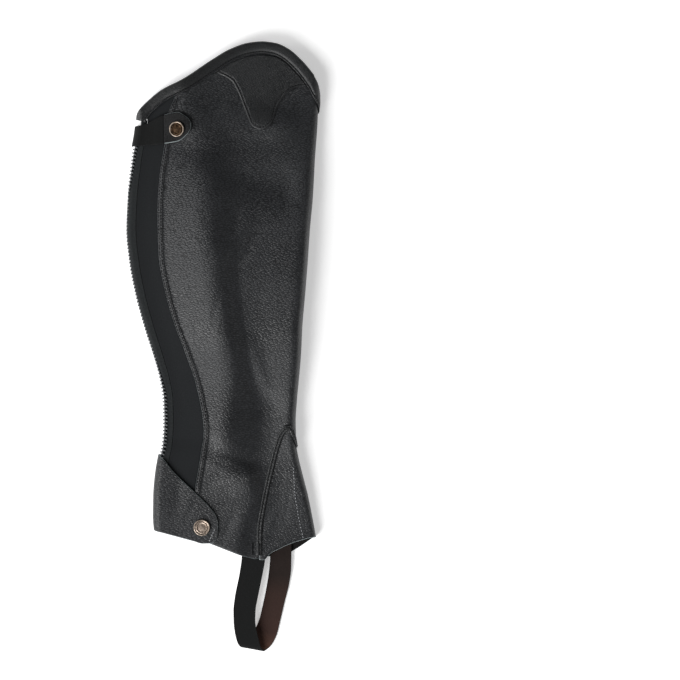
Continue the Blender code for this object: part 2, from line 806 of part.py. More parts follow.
def instep_welt(finish):
    """A raised band over the gusset's seam, up the outer side and round the apex to the shin fold."""
    left_up = np.array([-195, -184, -172, -160, -150, -140, -131, -120, -110, -100, -89, -82, -78], float)
    right_up = np.array([-78, -81, -85, -89, -93], float)
    left, right = read(GUSSET_OUTER, "around", left_up), read(GUSSET_INNER, "around", right_up)
    seam_around = np.concatenate([left, [62.0], right])
    seam_up = np.concatenate([left_up, [GUSSET_APEX + 0.4], right_up])
    run, climb = np.gradient(seam_around), np.gradient(seam_up)
    length = np.hypot(run, climb)
    half = WELT_WIDTH / 2
    low, groove, high = WELT_REST, WELT_REST + 0.6, WELT_REST + WELT_HEIGHT
    section = ((-half, low), (half, low), (half, groove), (half / 2, high), (0, groove))
    section += ((-half / 2, high), (-half, groove))
    rings = []
    ridge = 1 - 0.6 * soft((seam_around - 64) / 8)
    for aside, out in section:
        around = seam_around + aside * climb / length
        up = seam_up - aside * run / length
        rings.append(skin(around, up, WELT_REST + (out - WELT_REST) * ridge))
    return tube("instep_welt", np.stack(rings, axis=1), finish)


def stirrup_elastic(finish):
    """A flat band through its two edges, turned over under the foot."""
    rows = len(STIRRUP["z"])
    keys = np.arange(rows, dtype=float)
    columns = {"row": keys, **STIRRUP}
    at = np.linspace(0, rows - 1, 49)
    left = np.stack([read(columns, name, at) for name in ("left_x", "left_y", "z")], axis=-1)
    right = np.stack([read(columns, name, at) for name in ("right_x", "right_y", "z")], axis=-1)
    path = np.gradient((left + right) / 2, axis=0)
    normal = np.cross(right - left, path)
    normal /= np.linalg.norm(normal, axis=-1, keepdims=True)
    half = normal * STIRRUP_THICKNESS / 2
    rings = np.stack([left - half, right - half, right + half, left + half], axis=1)
    return tube("stirrup_elastic", rings, finish)


def snap_cap(name, place, out, diameter, finish):
    """A pressed brass cap: a rolled rim, a groove and a low dome, turned about the cap's own axis."""
    radius = diameter / 2
    profile = (
        (0.93, 0.0),
        (1.0, 0.35),
        (0.98, 0.75),
        (0.88, 0.95),
        (0.78, 0.72),
        (0.62, 0.78),
        (0.34, 0.95),
    )
    base = skin(*place, out)
    normal = skin(*place, out + 1) - base
    normal /= np.linalg.norm(normal)
    side = np.cross([0.0, 1.0, 0.0], normal)
    side /= np.linalg.norm(side)
    other = np.cross(normal, side)
    sides = 28
    rings = []
    for share, height in profile:
        for step in range(sides):
            turn = 2 * math.pi * step / sides
            arm = side * math.cos(turn) + other * math.sin(turn)
            rings.append(base + arm * radius * share + normal * SNAP_HEIGHT * height)
    return tube(name, np.array(rings).reshape(len(profile), sides, 3), finish)


def clear_scene():
    for each in list(bpy.data.objects):
        bpy.data.objects.remove(each, do_unlink=True)


def main():
    clear_scene()
    leather = material("black_grained_leather", (0.022, 0.023, 0.024), 0.5)
    smooth_leather = material("black_smooth_leather", (0.026, 0.027, 0.028), 0.42)
    elastic = material("black_elastic", (0.012, 0.013, 0.014), 0.85)
    tape = material("black_zip_tape", (0.014, 0.016, 0.017), 0.8)
    cloth = material("dark_lining_cloth", (0.016, 0.016, 0.018), 0.9)
    brass = material("antique_brass", (0.42, 0.33, 0.25), 0.35, 1.0)
    chain = material("black_zip_chain", (0.03, 0.03, 0.032), 0.5)

    leather_body(leather)
    elastic_panel(elastic)
    zip_tapes(tape)
    zip_chain(chain)
    zip_slider(chain)
    top_binding(smooth_leather)
    top_lining(cloth)
    knee_patch(smooth_leather)
    snap_tab(elastic, smooth_leather)
    snap_cap("tab_snap", TAB_SNAP, TAB_REST + TAB_LEATHER + GAP, SNAP_DIAMETER - 1, brass)
    ankle_flap(leather)
    snap_cap("ankle_snap", ANKLE_SNAP, 2 * GAP + FLAP_LEATHER, SNAP_DIAMETER, brass)
    instep_gusset(leather)
    instep_welt(smooth_leather)
    stirrup_elastic(elastic)


main()
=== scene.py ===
# %% [markdown]
# # A leather half chap, laid flat
# A half chap is a tube of leather that zips round a rider's calf, from the boot to the knee. This
# lesson dresses its plain CAD model: each piece is cut again on a finer grid, with its cut edges,
# folds and stitching, and gets the finish of the real leather, elastic, tape, thread or brass.
# First the imported frame is loaded. Its own box is kept, to be printed beside the finished piece's box
# at the end.

# %% The imported frame
import json
import math

import bpy
import numpy as np
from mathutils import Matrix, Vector

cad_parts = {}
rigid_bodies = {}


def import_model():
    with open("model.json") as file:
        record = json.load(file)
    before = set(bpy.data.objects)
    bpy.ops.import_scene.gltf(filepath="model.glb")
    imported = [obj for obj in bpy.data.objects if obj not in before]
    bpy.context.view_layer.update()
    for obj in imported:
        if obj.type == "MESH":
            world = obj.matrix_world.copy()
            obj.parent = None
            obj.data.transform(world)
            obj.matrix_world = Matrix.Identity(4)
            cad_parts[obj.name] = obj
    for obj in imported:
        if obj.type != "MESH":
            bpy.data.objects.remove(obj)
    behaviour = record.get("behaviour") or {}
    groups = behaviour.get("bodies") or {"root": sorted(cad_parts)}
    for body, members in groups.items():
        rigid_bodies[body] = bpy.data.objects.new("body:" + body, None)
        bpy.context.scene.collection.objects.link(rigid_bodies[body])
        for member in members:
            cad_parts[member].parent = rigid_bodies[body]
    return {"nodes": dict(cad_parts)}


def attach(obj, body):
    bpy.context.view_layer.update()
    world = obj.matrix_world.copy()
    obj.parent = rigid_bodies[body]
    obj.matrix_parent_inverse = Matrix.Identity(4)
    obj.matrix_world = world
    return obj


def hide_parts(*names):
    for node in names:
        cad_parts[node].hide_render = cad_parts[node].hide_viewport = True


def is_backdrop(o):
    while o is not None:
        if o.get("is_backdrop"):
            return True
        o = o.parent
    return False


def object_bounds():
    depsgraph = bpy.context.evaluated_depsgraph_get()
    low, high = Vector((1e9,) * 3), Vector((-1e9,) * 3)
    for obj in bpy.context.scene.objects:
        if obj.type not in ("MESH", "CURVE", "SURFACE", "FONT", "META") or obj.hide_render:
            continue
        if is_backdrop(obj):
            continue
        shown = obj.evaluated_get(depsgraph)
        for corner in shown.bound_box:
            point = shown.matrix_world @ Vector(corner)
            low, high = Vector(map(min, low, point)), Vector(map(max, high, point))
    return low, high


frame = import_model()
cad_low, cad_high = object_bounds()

print("CAD nodes:", ", ".join(sorted(frame["nodes"])))

# %% [markdown]
# ## The camera
# The photo is taken from straight above with a long lens, so the laid-out shape shows without
# perspective. A camera can be placed by eye, or worked out: here 1 pixel is 0.94 mm of real
# leather, so the field of view is 680 of them across, seen from 2.2 m up.

# %% The camera above the table
MM = 0.001
MM_PER_PIXEL = 0.94
FRAME_PIXELS = 680
CAMERA_HEIGHT = 2200.0
CAMERA_OVER = (109.0, 6.3)  # the middle of the picture, in millimetres

camera = bpy.data.objects.new("camera", bpy.data.cameras.new("camera"))
camera.data.sensor_width = 36.0
camera.data.lens = camera.data.sensor_width * CAMERA_HEIGHT / (FRAME_PIXELS * MM_PER_PIXEL)
camera.data.clip_end = 20.0
camera.location = Vector((*CAMERA_OVER, CAMERA_HEIGHT)) * MM
bpy.context.scene.collection.objects.link(camera)
bpy.context.scene.camera = camera
print(f"lens {camera.data.lens:.1f} mm")

# %% [markdown]
# ## The sizes
# A leather worker thinks of this piece as flat panels wrapped into a tube. So a place on it is
# given by two distances in millimetres: `around` the leg, measured on the leather, and `up` the
# leg. The tables below are the real outlines in those two distances. On the outer side, which
# faces up, `around` is the same as X. Negative values run round the zip fold at the back, and
# values past the front edge run round the shin fold to the side that lies on the table.

# %% Thicknesses and widths, in millimetres
# A REST is how far a piece lies off the leather. A SPAN is where a change starts and its run.
LEATHER = 2.0
ELASTIC = 1.4
TAPE = 1.0
LINING = 1.0
LINING_REST = 0.9
LINING_BOTTOM = 130.0
GAP = 0.3
TURNED_EDGE = 1.0
TURNED_WIDTH = 4.0
TURNED_SLOPE = 1.0
BACK_BEND = 5.0
SHIN_CORNER = 3.0
LINING_ROOM = 1.8
LINING_RUN = 40.0
BINDING_WIDTH = 8.5
BINDING_LEATHER = 1.3
BINDING_REST = 0.6
RIM_LIFT = BINDING_LEATHER + BINDING_REST + 0.05
RIM_SPAN = (38.0, 24.0)
FLAP_LEATHER = 2.0
FLAP_SPAN = (-84.0, 16.0)
FREE_EDGES = (25.0, 20.0)  # over how far the creases fade out towards the zip and the shin
PATCH_LEATHER = 1.2
TAB_REST = 1.3
TAB_ELASTIC = 1.4
TAB_LEATHER = 2.2
WELT_WIDTH = 5.0
WELT_HEIGHT = 1.1
WELT_REST = 0.6
CHAIN_HALF_WIDTH = 2.2
CHAIN_DEPTH = 1.8
CHAIN_ENDS = (-163.0, 189.4)
SLIDER_LENGTH = 9.0
TAPE_CLEARANCE = 0.6
TAPE_BOTTOM = -166.0
TAPE_FLAT = 4.0
ELASTIC_INSET = 0.4
TAPE_INSET = 0.3
STIRRUP_THICKNESS = 1.6
SNAP_DIAMETER = 15.5
SNAP_HEIGHT = 2.6
print(f"body leather {LEATHER} mm, calf elastic {ELASTIC} mm, flap {FLAP_LEATHER} mm")


# %% The tube's cross sections, from the hem up
def table(columns, *rows):
    """A short table of sizes: each named column as an array, read down the rows."""
    return dict(zip(columns.split(), np.array(rows, float).T))


SECTIONS = table(
    "up    back   front  shin_bend  crest  height  fall  fall_width",
    (-215, -62.0, 95.0, 5.4, 8.0, 12.8, 2.2, 18.0),
    (-178, -62.6, 86.6, 6.2, 15.0, 14.3, 2.4, 18.0),
    (-160, -64.0, 83.2, 6.7, 20.0, 15.3, 2.6, 16.0),
    (-140, -63.8, 79.2, 7.4, 26.5, 16.6, 3.0, 13.0),
    (-118, -62.0, 73.6, 8.3, 22.0, 18.6, 4.0, 15.0),
    (-104, -59.6, 70.2, 8.8, 6.0, 20.2, 5.2, 32.0),
    (-92, -57.2, 68.2, 9.3, 3.0, 21.4, 5.8, 36.0),
    (-70, -56.0, 67.6, 9.9, 4.0, 22.7, 6.0, 35.0),
    (-50, -56.4, 68.8, 10.9, 6.5, 23.6, 5.8, 30.0),
    (-31, -59.4, 70.6, 11.8, 8.5, 24.6, 5.4, 22.0),
    (-8, -65.8, 72.6, 12.8, 6.5, 25.8, 5.2, 20.0),
    (20, -74.6, 74.0, 13.4, 1.5, 27.2, 5.0, 20.0),
    (50, -82.6, 76.6, 13.6, -4.0, 28.0, 4.8, 22.0),
    (80, -88.2, 79.0, 13.5, -8.5, 28.4, 4.6, 24.0),
    (110, -91.0, 81.0, 13.1, -11.5, 28.0, 4.2, 26.0),
    (138, -90.0, 83.6, 12.4, -12.5, 26.4, 3.6, 28.0),
    (175, -85.8, 85.6, 10.6, -16.0, 22.3, 2.4, 30.0),
    (213, -80.4, 88.2, 9.0, -30.0, 18.0, 1.2, 32.0),
    (236, -80.4, 88.8, 8.5, -34.0, 16.4, 0.8, 32.0),
    (300, -80.4, 88.8, 8.1, -36.0, 15.4, 0.6, 32.0),
)
CREST_ENDS = (0.24, 0.2)  # the share of the rise to the crest that is rounded at each end
SHIN_ENDS = (0.45, 0.12)  # the same for the rise from the trough to the shin
print(f"{len(SECTIONS['up'])} sections, the highest {SECTIONS['height'].max()} mm")

# %% The outlines of the panels
OUTER_TOP = table(
    "around  up",
    (-86, 198), (-82, 209), (-80, 215.6), (-76.5, 220.6), (-69.6, 227.6), (-56.4, 238),
    (-36.7, 247.6), (-8.5, 266.2), (7.5, 275.6), (24, 281.2), (35.7, 282.4), (48, 281), (59.2, 276),
    (70.5, 266.3), (79, 256.6), (86.5, 246), (91, 238), (95.5, 231.5), (100, 227), (105, 225),
    (112, 225),
)
INNER_TOP = table(
    "x    up",
    (-78, 214), (-70, 218.6), (-58, 222), (0, 224), (60, 224.5), (78, 225),
)
OUTER_HEM = table(
    "around  up",
    (-90, -160), (-62, -168), (-36, -176), (-11.3, -184.5), (5.6, -191.1), (18.5, -195.8),
    (32, -199), (38, -199.6), (43.5, -193.6), (50.8, -189.8), (60.2, -185.2), (73.3, -180.8),
    (86, -178), (98, -179.5),
)
INNER_HEM = table(
    "x    up",
    (-66, -166), (-40, -174), (20, -192), (40, -197), (56, -196), (66, -191), (82, -180.5),
)
print(f"{OUTER_TOP['up'].max() - OUTER_HEM['up'].min():.0f} mm from the hem's lowest point to the peak")

# %% Where the elastic, the gusset and the zip lie
ELASTIC_SEAM = table(
    "up   x",
    (-215, -35.0), (-177, -33.0), (-132, -26.3), (-99, -20.7), (-78, -17.9), (-66, -19.0),
    (-35, -25.4), (-6, -35.3), (20, -45.3), (50, -54.0), (85, -60.2), (128, -61.3), (157, -59.7),
    (190, -54.8), (217, -51.5), (236, -44.6), (300, -30.0),
)
GUSSET_OUTER = table(
    "up   around",
    (-215, 33.2), (-197, 33.2), (-172, 33.6), (-150, 36.7), (-131, 40.6), (-110, 45.6), (-89, 51.4),
    (-80, 55.5), (-75, 60.8),
)
GUSSET_INNER = table(
    "up   around",
    (-215, 164.0), (-197, 152.0), (-180, 139.0), (-163, 126.0), (-145, 112.5), (-125, 99.5),
    (-105, 85.5), (-92, 73.5), (-81, 66.2), (-75, 63.2),
)
GUSSET_APEX = -75.0
# How far round the back fold the closed zip lies.
ZIP_TURN = table(
    "up    degrees",
    (-215, 90), (-165, 86), (-118, 58), (-90, 48), (-55, 50), (-30, 66), (10, 94), (80, 98),
    (135, 84), (165, 58), (190, 52), (230, 60),
)
print(f"zip {ZIP_TURN['degrees'].min():.0f} to {ZIP_TURN['degrees'].max():.0f} degrees round its fold")

# %% The outlines of what is sewn or snapped on
PATCH_EDGE = table(
    "around  up",
    (-9.0, 257.0), (7.5, 248.0), (14.1, 236.6), (20.3, 220.7), (27.6, 205.2), (35.7, 202.0),
    (44.7, 207.0), (51.7, 224.9), (58.3, 235.0), (68.2, 241.4), (78.0, 243.5),
)
FLAP_BOTTOM = table(
    "around  up",
    (-90, -163), (-62, -172.4), (-42, -177.8), (-27.3, -181.7), (-19.5, -183.8), (-10.5, -183.4),
    (-6, -178), (-4.6, -170),
)
FLAP_TOP = table(
    "around  up",
    (-90, -100.6), (-60.5, -101), (-57, -104), (-47, -116.4), (-27.3, -135.2), (-12, -150.6),
    (-6, -159.5), (-4.6, -166),
)
FLAP_TIP = -4.8
TAB_BOTTOM = table(
    "around  up",
    (-96, 186.6), (-56, 189.4), (-42, 191.6), (-33, 198), (-29.4, 204),
)
TAB_TOP = table(
    "around  up",
    (-96, 205), (-80, 206.4), (-73, 208), (-56, 216), (-42, 218.6), (-33, 213.5), (-29.4, 208.5),
)
TAB_TIP_START = -55.0
TAB_END_TURN = 118.0  # degrees round the zip fold
TAB_SNAP = (-42.0, 203.0)
ANKLE_SNAP = (-19.8, -168.6)
print(f"snaps {math.dist(TAB_SNAP, ANKLE_SNAP):.0f} mm apart")

# %% The two edges of the strap under the foot
STIRRUP = table(
    "left_x  left_y  right_x  right_y  z",
    (17.6, -180.0, 39.5, -180.0, 8.5),
    (17.0, -197.0, 38.8, -199.0, 8.0),
    (15.0, -212.0, 36.7, -212.0, 8.0),
    (10.6, -234.0, 32.2, -234.0, 8.0),
    (9.2, -247.0, 30.0, -246.5, 8.0),
    (9.4, -258.0, 29.6, -257.0, 8.0),
    (11.2, -271.0, 32.0, -271.0, 7.8),
    (14.0, -279.0, 35.4, -282.4, 7.0),
    (17.0, -281.2, 37.8, -285.0, 4.7),
    (20.0, -278.6, 43.0, -282.0, 1.8),
    (27.6, -268.0, 49.2, -271.6, 0.8),
    (32.8, -257.0, 53.0, -257.0, 0.8),
    (37.0, -240.0, 57.0, -240.0, 0.8),
    (40.6, -222.0, 61.4, -222.0, 1.2),
    (42.6, -208.0, 63.2, -208.0, 2.6),
    (43.4, -197.0, 63.4, -197.0, 3.5),
    (43.6, -180.0, 63.6, -180.0, 3.5),
)
print(f"{len(STIRRUP['z'])} places along the strap, down to {STIRRUP['right_y'].min():.0f} mm")

# %% [markdown]
# ## The folds
# Limp leather never lies flat. The sections above give this one a crest down its length and a
# fall beside it. On top come dents, swellings and the small creases of the ankle, which bends
# with every step. A cloth simulation would put them where it likes. Here each one is given as a
# soft line with a middle, a direction, a length, a width and a depth. A depth above 0 pushes the
# leather in, one below 0 swells it, and no two are alike.

# %% The folds, large and small
FOLDS = table(
    "x     up    angle  half_length  half_width  depth",
    (-28.0, 187.0, -20.0, 28.0, 15.0, 2.2),
    (50.0, 206.0, 4.0, 30.0, 14.0, -2.8),
    (46.0, 152.0, -4.0, 44.0, 18.0, 2.4),
    (8.0, -101.0, -17.0, 22.0, 8.5, 2.3),
    (12.0, -123.0, 8.0, 24.0, 11.0, -1.2),
    (17.0, -156.0, 72.0, 30.0, 11.0, -0.8),
    (46.0, -52.0, 150.0, 20.0, 7.0, 0.4),
    (50.0, -150.0, 75.0, 30.0, 8.0, 0.8),
)
CREASES = table(
    "x     up    angle  half_length  half_width  depth",
    (10.0, 97.0, 52.0, 26.0, 5.0, -0.9),
    (20.0, 84.0, 58.0, 22.0, 4.0, 0.6),
    (-8.0, 28.0, 76.0, 34.0, 3.5, 0.5),
    (34.0, -20.0, 112.0, 26.0, 5.0, -0.6),
    (-2.0, -52.0, 48.0, 17.0, 3.0, 0.3),
    (4.0, -60.0, 44.0, 20.0, 3.2, -0.35),
    (-4.0, -68.0, 40.0, 16.0, 2.8, 0.35),
    (4.0, -79.0, 36.0, 19.0, 3.0, -0.4),
    (-6.0, -86.0, 30.0, 15.0, 2.6, 0.35),
    (-11.0, -99.0, 22.0, 12.0, 3.0, 0.4),
    (12.0, -99.0, -10.0, 14.0, 2.8, -0.45),
    (-2.0, -108.0, -24.0, 14.0, 2.6, 0.5),
    (14.0, -108.0, 6.0, 10.0, 2.4, 0.45),
    (16.0, -114.0, -20.0, 13.0, 2.6, 0.5),
    (12.0, -121.0, 12.0, 16.0, 3.4, -0.5),
    (24.0, -128.0, 40.0, 16.0, 6.0, -0.6),
    (-8.0, -124.0, 52.0, 16.0, 4.0, 0.4),
    (24.0, -178.0, 80.0, 14.0, 6.0, 0.9),
    (6.0, -166.0, 66.0, 15.0, 4.0, 0.7),
    (-44.0, -140.0, 82.0, 24.0, 7.0, 0.8),
    (-30.0, -152.0, 60.0, 16.0, 3.0, 0.35),
    (62.0, -140.0, 78.0, 24.0, 3.0, 0.4),
    (44.0, -166.0, 70.0, 20.0, 3.6, -0.5),
    (-62.0, 150.0, 88.0, 26.0, 4.0, 0.4),
    (-72.0, 60.0, 80.0, 34.0, 4.0, 0.35),
    (-46.0, -40.0, 112.0, 24.0, 4.0, 0.35),
)
print(f"{len(FOLDS['x'])} large folds and {len(CREASES['x'])} small creases")

# %% [markdown]
# ## From a flat pattern to a tube
# Each outline above is a few measured points, and the leather runs smoothly between them. Bezier
# curves could do that, but they overshoot. A cubic with limited slopes passes through each point
# and never swings past one, so it is used for every table.

# %% Reading a table as a smooth curve
def read(columns, name, at):
    """Reads one column of a table as a smooth curve that doesn't overshoot its rows."""
    keys = columns[list(columns)[0]]
    values = columns[name]
    steps = np.diff(keys)
    rises = np.diff(values) / steps
    slopes = np.zeros_like(values)
    same_way = rises[:-1] * rises[1:] > 0
    safe = np.where(same_way, rises[:-1] + rises[1:], 1.0)
    slopes[1:-1] = np.where(same_way, 2 * rises[:-1] * rises[1:] / safe, 0.0)
    slopes[0], slopes[-1] = rises[0], rises[-1]
    at = np.asarray(at, float)
    row = np.clip(np.searchsorted(keys, at) - 1, 0, len(keys) - 2)
    step = steps[row]
    t = np.clip((at - keys[row]) / step, 0.0, 1.0)
    rest = 1 - t
    return (
        values[row] * (1 + 2 * t) * rest**2
        + values[row + 1] * (3 - 2 * t) * t**2
        + step * (slopes[row] * t * rest**2 - slopes[row + 1] * t**2 * rest)
    )


def soft(t):
    """A smooth step from 0 to 1."""
    t = np.clip(t, 0.0, 1.0)
    return t * t * (3 - 2 * t)


def even_rise(t, start, end):
    """A rise from 0 to 1 with an even slope between two rounded ends."""
    t = np.clip(t, 0.0, 1.0)
    slope = 1 / (1 - start / 2 - end / 2)
    beginning, ending = slope * t**2 / (2 * start), 1 - slope * (1 - t) ** 2 / (2 * end)
    return np.where(t < start, beginning, np.where(t > 1 - end, ending, slope * (t - start / 2)))


print(f"between two sections, at 65 mm up: {float(read(SECTIONS, 'height', 65.0)):.1f} mm high")


# %% Where the folds and the edges run
def zip_start(up):
    """Where the upper wall begins, beside the zip fold."""
    return read(SECTIONS, "back", up) + BACK_BEND


def shin_reach(up):
    """How far the shin fold stands out: it is half an ellipse, narrower than it is high."""
    lined = soft((np.asarray(up, float) - LINING_BOTTOM + LINING_RUN) / LINING_RUN)
    corner = SHIN_CORNER + LINING_ROOM * lined
    return np.sqrt(corner * read(SECTIONS, "shin_bend", up))


def shin_arc(up):
    """The length of leather round the shin fold."""
    return math.pi * np.sqrt((shin_reach(up) ** 2 + read(SECTIONS, "shin_bend", up) ** 2) / 2)


def shin_start(up):
    """Where the upper wall ends, beside the shin fold."""
    return read(SECTIONS, "front", up) - shin_reach(up)


def edge_height(outer, inner, around, up):
    """The height of an edge at a place round the tube."""
    fold_end = shin_start(up) + shin_arc(up)
    under_x = shin_start(up) + fold_end - around
    return np.where(around < fold_end, read(outer, "up", around), read(inner, "up", under_x))


def top_edge(around, up):
    """The edge round the mouth."""
    return edge_height(OUTER_TOP, INNER_TOP, around, up)


def hem_edge(around, up):
    """The edge round the hem."""
    return edge_height(OUTER_HEM, INNER_HEM, around, up)


print(f"flat calf {(SECTIONS['front'] - SECTIONS['back']).max():.0f} mm at its widest")


# %% Folding the pattern into the laid-out tube
def relief(x, up):
    """How far the folds push the upper wall in."""
    depth = np.zeros_like(x + up)
    for row in [*zip(*FOLDS.values()), *zip(*CREASES.values())]:
        fold_x, fold_up, angle, half_length, half_width, fold_depth = row
        turn = math.radians(angle)
        along = (x - fold_x) * math.cos(turn) + (up - fold_up) * math.sin(turn)
        aside = (up - fold_up) * math.cos(turn) - (x - fold_x) * math.sin(turn)
        depth = depth + fold_depth * np.exp(-((along / half_length) ** 2) - (aside / half_width) ** 2)
    return depth


def outside(around, up):
    """The outer face of the leather tube, in millimetres."""
    around, up = np.broadcast_arrays(np.asarray(around, float), np.asarray(up, float))
    zip_side, shin_side = zip_start(up), shin_start(up)
    shin_bend = read(SECTIONS, "shin_bend", up)
    lift = (FLAP_LEATHER + GAP) * soft((FLAP_SPAN[0] - up) / FLAP_SPAN[1])
    rim_lift = RIM_LIFT * soft((up - top_edge(around, up) + RIM_SPAN[0]) / RIM_SPAN[1])

    crest, fall_width = read(SECTIONS, "crest", up), read(SECTIONS, "fall_width", up)
    height, fall = read(SECTIONS, "height", up), read(SECTIONS, "fall", up)
    zip_height, shin_height = 2 * BACK_BEND + lift, 2 * shin_bend
    to_crest = (around - zip_side) / (crest - zip_side)
    to_shin = (around - crest - fall_width) / (shin_side - crest - fall_width)
    upper = zip_height + (height - zip_height) * even_rise(to_crest, *CREST_ENDS)
    upper = upper - fall * soft((around - crest) / fall_width)
    upper = upper + (shin_height - height + fall) * even_rise(to_shin, *SHIN_ENDS)
    free = soft((around - zip_side) / FREE_EDGES[0]) * soft((shin_side - around) / FREE_EDGES[1])
    upper = upper - relief(around, up) * free

    shin_turn = np.clip((around - shin_side) / shin_arc(up), 0.0, 1.0) * math.pi
    zip_turn = np.clip((zip_side - around) / BACK_BEND, 0.0, math.pi)
    past_shin = np.maximum(around - shin_side - shin_arc(up), 0.0)
    past_zip = np.maximum(zip_side - around - math.pi * BACK_BEND, 0.0)
    shin_x = shin_side + shin_reach(up) * np.sin(shin_turn) - past_shin
    shin_z = shin_bend * (1 + np.cos(shin_turn)) + rim_lift * shin_turn / math.pi
    zip_x = zip_side - BACK_BEND * np.sin(zip_turn) + past_zip
    zip_z = BACK_BEND * (1 + np.cos(zip_turn)) + lift

    on_shin, on_zip = around > shin_side, around < zip_side
    x = np.where(on_shin, shin_x, np.where(on_zip, zip_x, around))
    z = np.where(on_shin, shin_z, np.where(on_zip, zip_z, upper))
    return np.stack([x, up, z], axis=-1)


print("on the calf, by the crest:", outside(0.0, 80.0).round(1), "mm")


# %% Off the leather, and round the tube
def unit(way):
    """The same directions, each 1 long."""
    return way / np.linalg.norm(way, axis=-1, keepdims=True)


def skin(around, up, out=0.0):
    """A point on the tube's outer face, moved out of the leather by `out` millimetres."""
    small = 0.05
    around, up, out = np.broadcast_arrays(*(np.asarray(each, float) for each in (around, up, out)))
    along = outside(around + small, up) - outside(around - small, up)
    upward = outside(around, up + small) - outside(around, up - small)
    return outside(around, up) + unit(np.cross(along, upward)) * out[..., None]


def turns(place, up):
    """Distance round the tube for a place counted in parts: 0 to 1 crosses the upper wall, 1 to 2
    is the shin fold, 2 to 3 the wall on the table, and -1 to 0 the zip fold."""
    width = shin_start(up) - zip_start(up)
    return (
        zip_start(up)
        + np.minimum(place, 0.0) * math.pi * BACK_BEND
        + np.clip(place, 0.0, 1.0) * width
        + np.clip(place - 1, 0.0, 1.0) * shin_arc(up)
        + np.clip(place - 2, 0.0, 1.0) * width
    )


print(f"round the calf, inner side and folds too: {float(turns(3.0, 80.0) - turns(-1.0, 80.0)):.0f} mm")


# %% Where columns of points meet an edge
def meet(edge, around_at, first_guess, tries=12):
    """The height at which each column meets an edge, when both shift round the tube as it climbs."""
    up = first_guess
    for _ in range(tries):
        up = edge(around_at(up), up)
    return up


def settle(place, edge):
    """The same for places round the tube."""
    return meet(edge, lambda up: turns(place, up), np.zeros_like(np.asarray(place, float)))


def spread(low, high, rows):
    """Rows of heights between a lower and an upper edge, one column for each place."""
    share = np.linspace(0.0, 1.0, rows)[:, None]
    return low[None, :] * (1 - share) + high[None, :] * share


def joined(*runs):
    """Even steps through runs that meet, each given by its start, its end and its count."""
    steps = [np.linspace(*run) for run in runs]
    return np.concatenate([*(run[:-1] for run in steps[:-1]), steps[-1]])


upper_wall = skin(np.linspace(-60, 60, 99)[:, None], np.linspace(-150, 240, 99))
print(f"highest point {upper_wall[..., 2].max():.1f} mm")

# %% [markdown]
# ## Colours and nodes
# Colours are written as the sRGB hex values that a swatch book would give. Blender mixes light in
# linear values, so one function turns them. A material is a small tree of nodes, and one function
# adds a node with its settings, what feeds its sockets and, for a ramp, its colour stops.

# %% Helpers for every finish
def colour(code):
    """An sRGB hex value such as 1a2b3c as a linear colour."""
    parts = [int(code[i : i + 2], 16) / 255 for i in (0, 2, 4)]
    return (*[c / 12.92 if c <= 0.04045 else ((c + 0.055) / 1.055) ** 2.4 for c in parts], 1.0)


def add_node(tree, kind, inputs=None, stops=(), **settings):
    """Adds one node. Each input takes a number, a colour or another node's output, and each stop
    of a ramp is its place and its hex colour."""
    made = tree.nodes.new(kind)
    for name, value in settings.items():
        setattr(made, name, value)
    for name, value in (inputs or {}).items():
        if isinstance(value, bpy.types.NodeSocket):
            tree.links.new(value, made.inputs[name])
        else:
            made.inputs[name].default_value = value
    for number, (place, code) in enumerate(stops):
        ramp = made.color_ramp.elements
        stop = ramp[number] if number < 2 else ramp.new(place)
        stop.position = place
        stop.color = colour(code)
    return made


def feed(shader, **sockets):
    """Links what a finish has worked out to the shader's own sockets."""
    for socket, output in sockets.items():
        shader.id_data.links.new(output, shader.inputs[socket.replace("_", " ")])


def new_finish(name, **sockets):
    """A material with one Principled shader. Returns it with its node tree and its shader."""
    made = bpy.data.materials.new(name)
    made.use_nodes = True
    shader = made.node_tree.nodes["Principled BSDF"]
    for socket, value in sockets.items():
        shader.inputs[socket.replace("_", " ")].default_value = value
    return made, made.node_tree, shader


def pattern_place(tree, stretch=(1.0, 1.0, 1.0), turn=0.0):
    """The place on the flat pattern in metres, which each mesh carries as its `cut` attribute."""
    cut = add_node(tree, "ShaderNodeAttribute", attribute_name="cut")
    angles = (0.0, 0.0, math.radians(turn))
    inputs = {"Vector": cut.outputs["Vector"], "Rotation": angles, "Scale": stretch}
    return add_node(tree, "ShaderNodeMapping", inputs).outputs["Vector"]


print("hex 808080 is", round(colour("808080")[0], 3), "in linear light")

# %% [markdown]
# ## Pebble-grained leather
# The panels are cowhide, milled so that its grain closes up into small pebbles, dyed black and
# given a satin top coat. To the eye that is a nearly black hide whose pebbles each catch a point
# of light, with a broad soft sheen where it bends. The pebbles of the real hide are about 1 mm
# across, in short rows round the leg. They are drawn 1.6 mm high and 3.6 mm long, because finer
# ones are lost between the render's pixels: cells of 1.8 mm, stretched and turned a little. The
# gaps between them are less glossy and are painted darker, as painted shade in their hollows,
# and broad faint patches vary both.

# %% Grained leather
PEBBLE = 1.8 * MM
PEBBLE_STRETCH = (0.5, 1.15, 1.0)
PEBBLE_TURN = -10.0
FAINT_PATCH = 55 * MM


